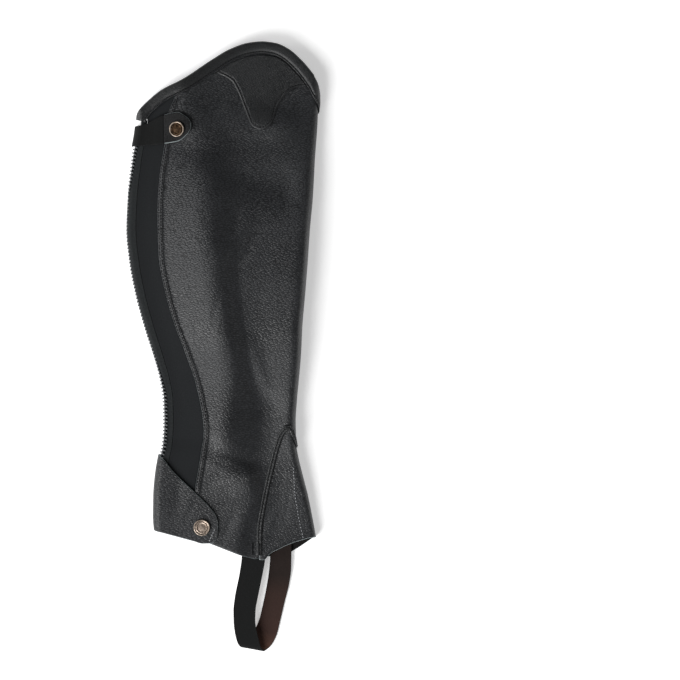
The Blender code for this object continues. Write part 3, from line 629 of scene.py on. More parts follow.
def grained_leather(name, dark, light, pebble, depth, roughness, shine_level):
    """Leather with a grain of smooth-crowned cells, `pebble` wide, that a noise bends."""
    made, tree, shader = new_finish(name, IOR=1.5)
    place = pattern_place(tree, stretch=PEBBLE_STRETCH, turn=PEBBLE_TURN)
    bend = add_node(tree, "ShaderNodeTexNoise", {"Vector": place, "Scale": 0.16 / pebble, "Detail": 1.0})
    bending = {0: bend.outputs["Color"], 1: (0.9 * pebble,) * 3}
    shift = add_node(tree, "ShaderNodeVectorMath", bending, operation="MULTIPLY")
    bent = add_node(tree, "ShaderNodeVectorMath", {0: place, 1: shift.outputs["Vector"]})
    cells = {"Vector": bent.outputs["Vector"], "Scale": 1 / pebble, "Randomness": 0.9}
    edge = add_node(tree, "ShaderNodeTexVoronoi", cells, feature="DISTANCE_TO_EDGE")
    rise = {"Value": edge.outputs["Distance"], "From Min": 0.0, "From Max": 0.24}
    crown = add_node(tree, "ShaderNodeMapRange", rise, interpolation_type="SMOOTHSTEP").outputs["Result"]
    pores = add_node(tree, "ShaderNodeTexNoise", {"Vector": place, "Scale": 3.2 / pebble, "Detail": 3.0})
    heights = {0: pores.outputs["Fac"], 1: 0.3, 2: crown}
    height = add_node(tree, "ShaderNodeMath", heights, operation="MULTIPLY_ADD").outputs["Value"]
    bump = add_node(tree, "ShaderNodeBump", {"Height": height, "Strength": 0.8, "Distance": depth})
    noise = {"Vector": place, "Scale": 1 / FAINT_PATCH, "Detail": 1.0}
    patches = add_node(tree, "ShaderNodeTexNoise", noise).outputs["Fac"]
    # The gaps between the cells are painted darker, as painted shade in their hollows, and the broad
    # patches vary the tone at random.
    painted_shade_and_patches = add_node(tree, "ShaderNodeMath", {0: crown, 1: patches}, operation="MULTIPLY")
    dye_stops = ((0.0, dark), (0.6, light))
    dye = add_node(tree, "ShaderNodeValToRGB", {"Fac": painted_shade_and_patches.outputs["Value"]}, stops=dye_stops)
    gloss = {"Value": patches, "From Min": 0.3, "From Max": 0.7}
    gloss.update({"To Min": roughness - 0.06, "To Max": roughness + 0.08})
    coat = add_node(tree, "ShaderNodeMapRange", gloss)
    sheen = {"Value": crown, "To Min": 0.8 * shine_level, "To Max": shine_level}
    shine = add_node(tree, "ShaderNodeMapRange", sheen)
    feed(shader, Base_Color=dye.outputs["Color"], Roughness=coat.outputs["Result"])
    feed(shader, Specular_IOR_Level=shine.outputs["Result"], Normal=bump.outputs["Normal"])
    return made


milled_hide = grained_leather("black_milled_cowhide", "101113", "25272a", PEBBLE, 0.18 * MM, 0.42, 0.52)
print("finish", milled_hide.name, f"with {PEBBLE / MM:.1f} mm pebbles")

# %% [markdown]
# ## Smooth leather
# The binding, the knee patch, the welt and the end of the tab are split leather with a finer,
# pressed grain of about 0.6 mm, drawn at 1.2 mm. Thin leather pulled round an edge shines a little
# more than the panels do, and the thick end of the tab, which is darker, a little less.

# %% Smooth leather
binding_hide = grained_leather("black_smooth_cowhide", "101112", "1b1d1f", 1.2 * MM, 0.12 * MM, 0.4, 0.56)
tab_hide = grained_leather("black_tab_cowhide", "0a0a0b", "121314", 1.2 * MM, 0.1 * MM, 0.55, 0.25)
print("finishes", binding_hide.name, tab_hide.name)

# %% [markdown]
# ## Cut edges
# Where a panel is only cut, its edge shows the fibres of the hide. They are dyed too, but they
# stay greyer and more matte than the grain, and they draw a thin pale line round the ankle flap,
# the tab and the hem.

# %% Cut edges
def cut_edge(name, dark, light):
    """Fibres of two tones, 0.8 mm apart, that also make the edge a little rough."""
    made, tree, shader = new_finish(name, Roughness=0.85, IOR=1.45)
    place = add_node(tree, "ShaderNodeTexCoord").outputs["Object"]
    fibre = {"Vector": place, "Scale": 1 / (0.8 * MM), "Detail": 4.0, "Roughness": 0.7}
    fibres = add_node(tree, "ShaderNodeTexNoise", fibre).outputs["Fac"]
    dye = add_node(tree, "ShaderNodeValToRGB", {"Fac": fibres}, stops=((0.3, dark), (0.7, light)))
    rough = {"Height": fibres, "Strength": 0.5, "Distance": 0.2 * MM}
    bump = add_node(tree, "ShaderNodeBump", rough)
    feed(shader, Base_Color=dye.outputs["Color"], Normal=bump.outputs["Normal"])
    return made


raw_edge = cut_edge("grey_raw_leather_edge", "3c4245", "6a7275")
pale_edge = cut_edge("pale_raw_leather_edge", "6e7779", "a4adae")
print("finishes", raw_edge.name, pale_edge.name)

# %% [markdown]
# ## Elastic, tape and lining
# The calf panel, the tab and the strap under the foot are woven elastic: fine cords of rubber in
# a polyester weave. Its yarns scatter light, so it looks flat and matte beside the leather, with
# ribs along its length. So the shader's mirror-like part is turned well down. The zip's tape is a
# twill, and the lining is a plain weave. Their real threads are 0.2 to 0.5 mm, and each is drawn
# about twice as coarse.

# %% Woven cloths
MATTE_YARN = {"Roughness": 0.9, "Specular_IOR_Level": 0.2, "Sheen_Weight": 0.04, "Sheen_Roughness": 0.6}


def woven(name, dark, light, rib, across, depth):
    """A cloth with ribs along its pattern, `rib` wide, crossed by threads `across` apart."""
    made, tree, shader = new_finish(name, **MATTE_YARN)
    place = pattern_place(tree)
    axes = add_node(tree, "ShaderNodeSeparateXYZ", {"Vector": place})
    heights = []
    for axis, spacing in (("X", rib), ("Y", across)):
        phase = {0: axes.outputs[axis], 1: 2 * math.pi / spacing}
        turned = add_node(tree, "ShaderNodeMath", phase, operation="MULTIPLY")
        wave = add_node(tree, "ShaderNodeMath", {0: turned.outputs["Value"]}, operation="SINE")
        heights.append(wave.outputs["Value"])
    weave = {0: heights[1], 1: 0.4, 2: heights[0]}
    both = add_node(tree, "ShaderNodeMath", weave, operation="MULTIPLY_ADD")
    noise = {"Vector": place, "Scale": 1 / (1.2 * MM), "Detail": 3.0}
    fuzz = add_node(tree, "ShaderNodeTexNoise", noise).outputs["Fac"]
    fuzzy = {0: fuzz, 1: 1.5, 2: both.outputs["Value"]}
    height = add_node(tree, "ShaderNodeMath", fuzzy, operation="MULTIPLY_ADD").outputs["Value"]
    bump = add_node(tree, "ShaderNodeBump", {"Height": height, "Strength": 0.5, "Distance": depth})
    dye = add_node(tree, "ShaderNodeValToRGB", {"Fac": fuzz}, stops=((0.3, dark), (0.7, light)))
    feed(shader, Base_Color=dye.outputs["Color"], Normal=bump.outputs["Normal"])
    return made


panel_elastic = woven("black_woven_elastic", "141618", "1a1c1e", 1.0 * MM, 1.0 * MM, 0.05 * MM)
strap_elastic = woven("black_strap_elastic", "0c0d0d", "131414", 1.1 * MM, 0.9 * MM, 0.10 * MM)
strap_inside = woven("brown_strap_elastic", "2c1f1b", "3a2924", 1.1 * MM, 0.9 * MM, 0.10 * MM)
twill_tape = woven("black_twill_tape", "191b1c", "2a2d2e", 0.9 * MM, 1.1 * MM, 0.12 * MM)
lining_cloth = woven("black_lining_cloth", "19191b", "222325", 0.8 * MM, 0.8 * MM, 0.06 * MM)
backing_cloth = woven("brown_black_backing", "0d0c0b", "171514", 0.8 * MM, 0.8 * MM, 0.06 * MM)
print("six woven cloths")

# %% [markdown]
# ## Thread, moulded teeth and brass
# The thread is bonded polyester, dull where it is fine and waxed where it is thick. The thick
# black thread of the bar tacks is painted grey, as a painted highlight. The zip's teeth are
# moulded acetal, a hard smooth plastic, so each tooth has a sharp highlight, and their black is
# painted mid-grey as a painted highlight too. The snap caps are brass, pressed from sheet and
# darkened with a patina, which wear rubs off again. So there are three brasses: rubbed for both
# rims, worn for one cap's middle, dark for the other's.

# %% Thread and plastic
def one_colour(name, code, **sockets):
    """A finish that is the same all over."""
    return new_finish(name, Base_Color=colour(code), **sockets)[0]


black_thread = one_colour("black_bonded_thread", "0a0a0b", Roughness=0.75, Specular_IOR_Level=0.15)
# Black thread painted grey, as a painted highlight along the raised bar tacks.
tack_thread_painted_highlight = one_colour("black_waxed_thread_painted_highlight", "343537", Roughness=0.45, IOR=1.5)
pale_thread = one_colour("pale_bonded_thread", "a9abae", Roughness=0.55, IOR=1.5)
# Black acetal painted mid-grey, as a painted highlight on the teeth and the slider.
acetal_painted_highlight = one_colour("black_acetal_painted_highlight", "484b4d", Roughness=0.2, IOR=1.48)
print("thread and plastic ready")


# %% Antiqued brass
def brass(name, dark, light, roughness):
    """Brass with a blotchy patina: smoother and lighter where it is worn."""
    made, tree, shader = new_finish(name, Metallic=1.0)
    place = add_node(tree, "ShaderNodeTexCoord").outputs["Object"]
    rubbing = {"Vector": place, "Scale": 1 / (1.9 * MM), "Detail": 3.0, "Roughness": 0.6}
    worn = add_node(tree, "ShaderNodeTexNoise", rubbing).outputs["Fac"]
    patina = add_node(tree, "ShaderNodeValToRGB", {"Fac": worn}, stops=((0.35, dark), (0.65, light)))
    dulling = {"Value": worn, "To Min": roughness + 0.15, "To Max": roughness - 0.1}
    dull = add_node(tree, "ShaderNodeMapRange", dulling)
    feed(shader, Base_Color=patina.outputs["Color"], Roughness=dull.outputs["Result"])
    return made


rubbed_brass = brass("rubbed_antique_brass", "8a7d71", "bfb0a2", 0.42)
worn_brass = brass("worn_antique_brass", "5d5046", "b3a497", 0.42)
dark_brass = brass("patinated_brass", "0e0906", "503f30", 0.5)
print("finishes", rubbed_brass.name, worn_brass.name, dark_brass.name)

# %% [markdown]
# ## Making a piece
# A panel is a sheet with two faces. It could be a plane with a Solidify modifier, but then its
# edge would have no finish of its own. Here both faces are grids of points from the folded
# pattern, and a rounded strip joins them, so the grain side, the back and the cut edge can each
# have their own material. Every mesh also carries its place on the flat pattern, for the grain.

# %% A mesh that knows its flat pattern, and the border of a grid
def make_mesh(name, points, faces, finishes, face_finish=None, cut=None):
    """One object from points in millimetres, smooth shaded, riding on the part's one body."""
    mesh = bpy.data.meshes.new(name)
    mesh.from_pydata([tuple(point) for point in np.asarray(points) * MM], [], faces)
    for finish in finishes:
        mesh.materials.append(finish)
    if face_finish is not None:
        mesh.polygons.foreach_set("material_index", np.asarray(face_finish, np.int32))
    if cut is not None:
        place = mesh.attributes.new("cut", "FLOAT_VECTOR", "POINT")
        place.data.foreach_set("vector", (np.asarray(cut, float) * MM).astype(np.float32).ravel())
    mesh.shade_smooth()
    mesh.update()
    made = bpy.data.objects.new(name, mesh)
    bpy.context.scene.collection.objects.link(made)
    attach(made, "root")
    return made


def border_of(rows, columns):
    """The grid places round a sheet's border, in order."""
    border = [(0, column) for column in range(columns)]
    border += [(row, columns - 1) for row in range(1, rows)]
    border += [(rows - 1, column) for column in range(columns - 2, -1, -1)]
    border += [(row, 0) for row in range(rows - 2, 0, -1)]
    return np.array(border)


print("a grid of 3 by 4 has", len(border_of(3, 4)), "places on its border")


# %% A sheet with a grain side, a back and a cut edge
def sheet_piece(name, around, up, outer, inner, finishes, rounding=0.35):
    """A sheet through two grids of points, with a rounded cut edge all the way round."""
    rows, columns = around.shape
    count = rows * columns
    border = border_of(rows, columns)
    nearby = tuple(np.clip(border, 1, (rows - 2, columns - 2)).T)
    spot = tuple(border.T)
    outer, inner = outer.copy(), inner.copy()
    outer_rim, inner_rim = outer[spot].copy(), inner[spot].copy()
    for face, rim in ((outer, outer_rim), (inner, inner_rim)):
        face[spot] = rim + unit(face[nearby] - rim) * rounding
    strips = [outer_rim * (1 - share) + inner_rim * share for share in (0.2, 0.8)]
    points = np.concatenate([outer.reshape(-1, 3), inner.reshape(-1, 3), *strips])

    index = np.arange(count).reshape(rows, columns)
    corners = np.stack([index[:-1, :-1], index[:-1, 1:], index[1:, 1:], index[1:, :-1]], axis=-1)
    corners = corners.reshape(-1, 4)
    loops = [index[spot], 2 * count + np.arange(len(border))]
    loops += [2 * count + len(border) + np.arange(len(border)), count + index[spot]]
    strip_faces = []
    for here, there in zip(loops, loops[1:]):
        strip_faces.append(np.stack([np.roll(here, -1), here, there, np.roll(there, -1)], axis=-1))
    edge_faces = np.concatenate(strip_faces)
    faces = np.concatenate([corners, corners[:, ::-1] + count, edge_faces])
    kinds = [0] * len(corners) + [1] * len(corners) + [2] * len(edge_faces)
    flat = np.stack([around, up, np.zeros_like(around)], axis=-1)
    back = flat + (0.0, 0.0, 50.0)
    cut = np.concatenate([flat.reshape(-1, 3), back.reshape(-1, 3), flat[spot], flat[spot]])
    return make_mesh(name, points, faces.tolist(), finishes, kinds, cut)


# %% A panel of the tube, and the area of its pattern
def panel_piece(name, around, up, thickness, finishes, out=0.0, rounding=0.35):
    """A sheet cut from the tube: its outer face lies `out` from the skin, its back is plain."""
    around, up = np.broadcast_arrays(np.asarray(around, float), np.asarray(up, float))
    base = np.min(out) if np.ndim(out) else out
    outer, inner = skin(around, up, out), skin(around, up, base - thickness)
    made = sheet_piece(name, around, up, outer, inner, finishes, rounding)
    print(f"{name}: {len(made.data.polygons)} faces")
    return made


def cut_area(around, up):
    """The area of a panel's flat pattern in square metres, from the outline of its grid."""
    spot = tuple(border_of(*around.shape).T)
    x, y = around[spot] * MM, up[spot] * MM
    return abs(float(np.dot(x, np.roll(y, -1)) - np.dot(y, np.roll(x, -1)))) / 2


print(f"a square of 100 by 100 mm: {cut_area(*(100.0 * np.mgrid[0:2, 0:2])):.3f} m2")


# %% [markdown]
# ## The leather body
# The body is one hide panel that wraps from the elastic, over the shin and round to the zip on
# the inside of the leg. It is drawn as columns that start on its lower outline, which climbs up
# and over the instep gusset, and all end at the top edge. Beside the elastic the leather is
# turned under and sewn with two rows, so it stands up there and dips at each row.

# %% Across the leather body, and up its turned edge
EDGE_BAND = TURNED_WIDTH + TURNED_SLOPE
STITCH_ROWS = (1.3, 3.5)  # millimetres in from the turned edge
STITCH_DIP = 0.3
STITCH_DIP_WIDTH = 0.5
SEAM_CLEAR = 3.0  # how far the rows stay from the binding and from the flap
TURN_RUNS = (6.0, 5.0)  # over how far the turned edge sinks at the binding and at the flap


def body_around(place, up):
    """The leather's own places: -1 to 0 is its turned edge beside the elastic, 0 to 1 the rest of
    the upper wall, and from 1 on they are the tube's."""
    seam = read(ELASTIC_SEAM, "x", up)
    beside = seam + EDGE_BAND * np.clip(place + 1, 0.0, 1.0)
    across = (shin_start(up) - seam - EDGE_BAND) * np.clip(place, 0.0, 1.0)
    return np.where(place <= 1, beside + across, turns(np.maximum(place, 1.0), up))


def body_place(around, up):
    """The inverse of `body_around`, found by halving."""
    low, high = np.full_like(around, -1.0), np.full_like(around, 3.0)
    for _ in range(40):
        middle = (low + high) / 2
        short = body_around(middle, up) < around
        low, high = np.where(short, middle, low), np.where(short, high, middle)
    return (low + high) / 2


def turned_edge(around, up):
    """How far the turned and stitched edge beside the elastic stands up."""
    inward = around - read(ELASTIC_SEAM, "x", up)
    band_low = read(OUTER_TOP, "up", around) - BINDING_WIDTH
    below_binding = soft((band_low - SEAM_CLEAR - up) / TURN_RUNS[0])
    above_flap = soft((up - read(FLAP_TOP, "up", around) - 1) / TURN_RUNS[1])
    ridge = soft((EDGE_BAND - inward) / TURNED_SLOPE) * (0.75 + 0.25 * soft(inward))
    for row in STITCH_ROWS:
        ridge = ridge - STITCH_DIP * np.exp(-(((inward - row) / STITCH_DIP_WIDTH) ** 2))
    return TURNED_EDGE * ridge * below_binding * above_flap


between_rows = float(read(ELASTIC_SEAM, "x", 50.0)) + sum(STITCH_ROWS) / 2
print(f"the turned edge stands {float(turned_edge(between_rows, 50.0)):.2f} mm high between its rows")

# %% Where each column of the body starts
hem_places = joined((-1.0, 0.0, 16), (0.0, 0.5, 26))
hem_guess = np.full_like(hem_places, -180.0)
hem_up = meet(hem_edge, lambda up: body_around(hem_places, up), hem_guess, tries=20)
outer_up = np.concatenate([np.linspace(-198.2, -84.0, 32), np.linspace(-82.0, -76.5, 4)])
outer_places = body_place(read(GUSSET_OUTER, "around", outer_up) - GAP, outer_up)
tip_up = np.array([GUSSET_APEX + 1.0])
tip_places = body_place(np.array([62.0]), tip_up)
inner_up = np.concatenate([np.linspace(-76.5, -84.0, 5), np.linspace(-86.0, -197.0, 42)])
inner_places = body_place(read(GUSSET_INNER, "around", inner_up) + GAP, inner_up)
last_share = np.linspace(0.0, 0.95, 24)[1:]
last_places = inner_places[-1] + (3.0 - inner_places[-1]) * last_share
last_up = settle(last_places, hem_edge)
body_places = np.concatenate([hem_places, outer_places, tip_places, inner_places, last_places])
body_bottom = np.concatenate([hem_up, outer_up, tip_up, inner_up, last_up])
print(f"{len(body_places)} columns, lowest at {body_bottom.min():.1f} mm")

# %% The leather body itself
BODY_ROWS = 180

top_guess = np.full_like(body_places, 230.0)
body_top = meet(top_edge, lambda up: body_around(body_places, up), top_guess)
body_up = spread(body_bottom, body_top, BODY_ROWS)
body_round = body_around(body_places[None, :], body_up)
zip_edge_up = spread(body_bottom[-1:], body_top[-1:] - 2.0, BODY_ROWS)
body_round = np.concatenate([body_round, turns(3.0, zip_edge_up) - TAPE_FLAT - GAP], axis=1)
body_up = np.concatenate([body_up, zip_edge_up], axis=1)
body = sheet_piece(
    "body_leather",
    body_round,
    body_up,
    skin(body_round, body_up, turned_edge(body_round, body_up)),
    skin(body_round, body_up, -LEATHER),
    (milled_hide, backing_cloth, raw_edge),
)
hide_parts("leather_body")
print(f"body: {len(body.data.polygons)} faces, cut area {cut_area(body_round, body_up):.3f} m2")

# %% [markdown]
# ## The calf elastic and the zip tapes
# The elastic sits a little lower than the leather that overlaps it, and swells softly over the
# calf. Next to it runs the zip's tape, which bends round the back fold. They could be modelled
# thread by thread, but they are plain sheets here, because their weave is finer than a pixel.

# %% The calf elastic
elastic_share = np.linspace(0.0, 1.0, 30)


def elastic_around(up):
    """From the zip's tape to the leather, one column for each share."""
    start = zip_start(up) + TAPE_FLAT + GAP
    return start + (read(ELASTIC_SEAM, "x", up) - GAP - start) * elastic_share


elastic_low = meet(hem_edge, elastic_around, np.full_like(elastic_share, -170.0))
elastic_high = meet(top_edge, elastic_around, np.full_like(elastic_share, 225.0))
elastic_up = spread(elastic_low, elastic_high, 200)
elastic_round = elastic_around(elastic_up)
elastic_finishes = (panel_elastic, lining_cloth, panel_elastic)
elastic_at = (elastic_round, elastic_up)
elastic = panel_piece("calf_elastic", *elastic_at, ELASTIC, elastic_finishes, out=-ELASTIC_INSET)
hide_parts("elastic_panel")


# %% The zip tapes
def zip_middle(up):
    """The line of the closed zip, on its fold."""
    return zip_start(up) - np.radians(read(ZIP_TURN, "degrees", up)) * BACK_BEND


def inner_seam(up):
    """Where the pieces of the leg's inner side begin, beside the zip fold."""
    return zip_start(up) - math.pi * BACK_BEND - TAPE_FLAT


def outer_tape(up):
    """Both edges of the outer tape, from the teeth to the elastic."""
    return zip_middle(up) + TAPE_NEAR, zip_start(up) + TAPE_FLAT


def inner_tape(up):
    """Both edges of the inner tape, from the leather to the teeth."""
    return inner_seam(up), zip_middle(up) - TAPE_NEAR


TAPE_NEAR = CHAIN_HALF_WIDTH + TAPE_CLEARANCE
for name, node, edges, top, columns in (
    ("tape_outer", "zip_tape_outer", outer_tape, 212.0, 12),
    ("tape_inner", "zip_tape_inner", inner_tape, 199.0, 26),
):
    tape_up = np.linspace(TAPE_BOTTOM, top, 190)[:, None]
    near, far = edges(tape_up)
    tape_round = near + (far - near) * np.linspace(0.0, 1.0, columns)
    tape_finishes = (twill_tape,) * 3
    tape = panel_piece(name, tape_round, tape_up, TAPE, tape_finishes, out=-TAPE_INSET, rounding=0.2)
    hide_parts(node)

# %% [markdown]
# ## Repeating a small thing along a line
# Stitches and zip teeth are the same small shape many times over. An array modifier would space
# them evenly, but not turn each one to the leather under it. Here the line is measured along the
# leather, and a copy is set at each step, turned to the line's direction and to the surface.

# %% Copies along a line
def line_frames(around, up, out, pitch):
    """Points at equal steps along a line on the tube, with their three directions."""
    path = skin(around, up, out)
    upper = skin(around, up, np.asarray(out) + 1.0)
    steps = np.linalg.norm(np.diff(path, axis=0), axis=-1)
    length = np.concatenate([[0.0], np.cumsum(steps)])
    at = np.arange(pitch / 2, length[-1], pitch)
    little = 0.2

    def walk(line, places):
        return np.stack([np.interp(places, length, line[:, axis]) for axis in range(3)], axis=-1)

    here = walk(path, at)
    along = unit(walk(path, at + little) - walk(path, at - little))
    outward = unit(walk(upper, at) - here)
    return here, along, np.cross(outward, along), outward


def copies(name, shape, shape_faces, frames, finish):
    """One mesh of copies of a small shape, whose points are (along, aside, outward)."""
    here, *ways = frames
    points = here[:, None, :] + sum(
        shape[None, :, axis, None] * way[:, None, :] for axis, way in enumerate(ways)
    )
    starts = len(shape) * np.arange(len(here))
    faces = [[int(start) + corner for corner in face] for start in starts for face in shape_faces]
    return make_mesh(name, points.reshape(-1, 3), faces, [finish])


def ring_faces(rings, sides):
    """Faces between closed rings of points, with both ends capped."""
    faces = [list(range(sides))[::-1], list(range((rings - 1) * sides, rings * sides))]
    for ring in range(rings - 1):
        for side in range(sides):
            beside = (side + 1) % sides
            first, second = ring * sides, (ring + 1) * sides
            faces.append([first + side, first + beside, second + beside, second + side])
    return faces


# %% [markdown]
# ## Stitches
# A lockstitch shows as short lengths of thread with a small gap between them, and each one dips
# into the leather at both ends. Every stitch here is a small rounded thread of that form.

# %% A row of stitches
def stitch_row(name, around, up, out, finish=black_thread, pitch=3.0, length=2.3, thread=0.34):
    """Stitches along a line of places. `pitch` and `length` are in millimetres along the seam."""
    rings, sides = 7, 6
    shape = []
    for step in np.linspace(-1.0, 1.0, rings):
        radius = thread * math.sqrt(max(1 - step**4, 0.03))
        for side in range(sides):
            turn = 2 * math.pi * side / sides
            height = radius * math.sin(turn) - 0.9 * thread * step**2
            shape.append((step * length / 2, radius * math.cos(turn), height))
    frames = line_frames(np.asarray(around, float), np.asarray(up, float), out, pitch)
    made = copies(name, np.array(shape), ring_faces(rings, sides), frames, finish)
    print(f"{name}: {len(frames[0])} stitches")
    return made


# %% The two rows beside the elastic
seam_up = np.linspace(-166.0, 236.0, 600)
for number, inset in enumerate(STITCH_ROWS):
    seam_round = read(ELASTIC_SEAM, "x", seam_up) + inset
    covered = seam_up < read(OUTER_TOP, "up", seam_round) - BINDING_WIDTH - SEAM_CLEAR
    covered &= seam_up > read(FLAP_TOP, "up", seam_round) + SEAM_CLEAR
    height = turned_edge(seam_round, seam_up) + 0.12
    row = [line[covered] for line in (seam_round, seam_up, height)]
    stitch_row(f"elastic_seam_stitches_{number + 1}", *row)

# %% [markdown]
# ## The zip chain and its slider
# The zip is a moulded one: a tooth on one tape, then one on the other, hooked together all the
# way down. Each tooth is a small rounded block with a narrower neck, longer than the gap between
# the tapes, and the teeth of one side lie half a step behind the other's.

# %% Zip teeth
TOOTH_PITCH = 3.4
TOOTH_LENGTH = 1.75
TOOTH_REACH = 3.0
TOOTH_RISE = 0.35
TOOTH_SIDES = 12
TOOTH_RINGS = (  # how far across the zip, how wide and how thick
    (-1.0, 0.55, 0.6), (-0.86, 0.9, 0.95), (-0.2, 0.8, 1.0),
    (0.3, 0.62, 1.0), (0.72, 0.95, 1.0), (0.95, 0.6, 0.7),
)


def squared(value, power):
    """A sine or cosine flattened, so that a ring drawn with it has nearly straight sides."""
    return np.sign(value) * abs(value) ** power


def tooth_shape(side):
    """A rounded tooth that reaches from its own tape across the middle of the zip."""
    points = []
    for place, wide, high in TOOTH_RINGS:
        for turn in np.linspace(0, 2 * math.pi, TOOTH_SIDES, endpoint=False):
            along = squared(math.cos(turn), 0.6) * wide * TOOTH_LENGTH / 2
            rise = squared(math.sin(turn), 0.6) * high * CHAIN_DEPTH / 2
            aside = side * (0.75 - place) * TOOTH_REACH / 1.55
            points.append((along, aside, rise - CHAIN_DEPTH / 2 + TOOTH_RISE))
    return np.array(points)


chain_up = np.linspace(*CHAIN_ENDS, 700)
for side, name in ((1, "teeth_outer"), (-1, "teeth_inner")):
    offset = TOOTH_PITCH / 2 if side > 0 else 0.0
    teeth_up = chain_up[chain_up > CHAIN_ENDS[0] + offset]
    frames = line_frames(zip_middle(teeth_up), teeth_up, 0.0, TOOTH_PITCH)
    tooth_faces = ring_faces(len(TOOTH_RINGS), TOOTH_SIDES)
    copies(name, tooth_shape(side), tooth_faces, frames, acetal_painted_highlight)
    print(f"{name}: {len(frames[0])} teeth")
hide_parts("zip_chain")


# %% The slider at the top of the chain
def loft(name, rings, finishes, cut=None):
    """A closed section carried along a path."""
    made = make_mesh(name, rings.reshape(-1, 3), ring_faces(*rings.shape[:2]), finishes, cut=cut)
    print(f"{name}: {len(made.data.polygons)} faces")
    return made


slider_bottom = CHAIN_ENDS[1] + 2 * GAP
slider_up = np.linspace(slider_bottom, slider_bottom + SLIDER_LENGTH, 24)
along_slider = (slider_up - slider_bottom) / SLIDER_LENGTH
slider_width = 1.5 + 0.75 * soft(along_slider / 0.3) - 0.9 * soft((along_slider - 0.72) / 0.28)
slider_rounding = np.sqrt(np.clip(1 - (2 * along_slider - 1) ** 8, 0.15, 1))
slider_rings = []
for turn in np.linspace(0, 2 * math.pi, 24, endpoint=False):
    aside = squared(math.sin(turn), 0.5) * slider_width
    rise = squared(math.cos(turn), 0.5) * slider_rounding
    slider_rings.append(skin(zip_middle(slider_up) + aside, slider_up, 1.35 * rise - 0.4))
slider = loft("zip_slider_body", np.stack(slider_rings, axis=1), [acetal_painted_highlight])
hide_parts("zip_slider")

# %% [markdown]
# ## The bound top edge
# A strip of thin leather is folded over the top edge and sewn through, so the rim is a soft
# roll with a narrow piped line along its lower edge. It is a section carried along the edge: the
# band outside, the roll over the rim and the plain band inside.

# %% The binding
def along_top(places, inset):
    """Points a set distance down from the tube's top edge, square to that edge."""
    before, edge_up, after = (settle(places + step, top_edge) for step in (-0.01, 0.0, 0.01))
    edge_around = turns(places, edge_up)
    run = turns(places + 0.01, after) - turns(places - 0.01, before)
    climb = after - before
    length = np.hypot(run, climb)
    return edge_around + inset * climb / length, edge_up - inset * run / length


BAND_INSETS = (8.5, 8.45, 8.1, 7.6, 7.1, 6.7, 6.2, 5.6, 4.8, 3.9, 3.0, 2.0, 1.0)
BAND_HEIGHTS = (0.6, 1.15, 1.5, 1.5, 1.1, 0.95, 1.35, 1.75, 1.95, 2.0, 2.0, 1.98, 1.94)
BINDING_STITCH = 6.8

# The roll over the rim has an inner and an outer radius, round the middle of the wall.
middle = -LEATHER / 2
roll = LEATHER / 2 + BINDING_REST
reach = roll + BINDING_LEATHER
section = list(zip(BAND_INSETS, BAND_HEIGHTS))
for angle in np.linspace(90, -90, 13):
    turn = math.radians(angle)
    section.append((-reach * math.cos(turn), middle + reach * math.sin(turn)))
section += [(inset, middle - reach) for inset in (2.5, 5.0, BINDING_WIDTH - 1)]
section += [(inset, middle - roll) for inset in (BINDING_WIDTH - 1, 4.0)]
for angle in (-90, -45, 0, 45, 90):
    turn = math.radians(angle)
    section.append((-roll * math.cos(turn), middle + roll * math.sin(turn)))
section.append((4.0, BINDING_REST))
binding_places = joined((-0.36, 0.0, 14), (0.0, 1.0, 110), (1.0, 2.0, 40), (2.0, 2.99, 70))
rim_round, rim_up = along_top(binding_places, 0.0)
rim_steps = np.hypot(np.diff(rim_round), np.diff(rim_up))
rim_length = np.concatenate([[0.0], np.cumsum(rim_steps)])


def band_cut(length, aside):
    """Places on the flat strip of a band, for its grain: its length by each line's distance."""
    lines = [np.stack([length, np.full_like(length, side), 0 * length], axis=-1) for side in aside]
    return np.stack(lines, axis=1).reshape(-1, 3)


binding_rings = []
for inset, out in section:
    line = skin(*along_top(binding_places, max(inset, 0.0)), out)
    if inset < 0:
        line = line + (line - skin(*along_top(binding_places, 1.0), out)) * -inset
    binding_rings.append(line)
binding_cut = band_cut(rim_length, 0.8 * np.arange(len(section)))
binding = loft("top_edge_binding", np.stack(binding_rings, axis=1), [binding_hide], binding_cut)
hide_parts("top_binding")

# %% Its row of stitches, in the groove above the piped line
binding_line = along_top(np.linspace(-0.3, 2.9, 900), BINDING_STITCH)
binding_stitches = stitch_row("binding_stitches", *binding_line, 1.05, pitch=2.8, length=2.1, thread=0.3)

# %% [markdown]
# ## The lining at the mouth
# Inside the top a band of plain cloth covers the back of the leather. It shows when one looks
# into the mouth, so it is a sheet of its own, just inside the wall.

# %% The lining
lining_places = joined((0.2, 1.0, 50), (1.0, 2.0, 30), (2.0, 2.96, 50))
lining_rim = settle(lining_places, top_edge)
steepness = np.hypot(1, np.gradient(lining_rim, turns(lining_places, lining_rim)))
lining_high = lining_rim - (BINDING_WIDTH + 4) * steepness
lining_up = spread(np.full_like(lining_high, LINING_BOTTOM), lining_high, 50)
lining_round = turns(lining_places[None, :], lining_up)
lining_finishes = (lining_cloth,) * 3
lining_out = -LEATHER - LINING_REST
lining = panel_piece("mouth_lining", lining_round, lining_up, LINING, lining_finishes, out=lining_out)
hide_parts("top_lining")

# %% [markdown]
# ## The knee patch
# A shield of smooth leather is laid over the peak, with one row of stitches just inside its edge.
# It is a panel like the others, cut between its own outline and the binding, and it dips along
# the stitches.

# %% The knee patch
PATCH_STITCH = 2.4
PATCH_BELOW_BINDING = 1.6

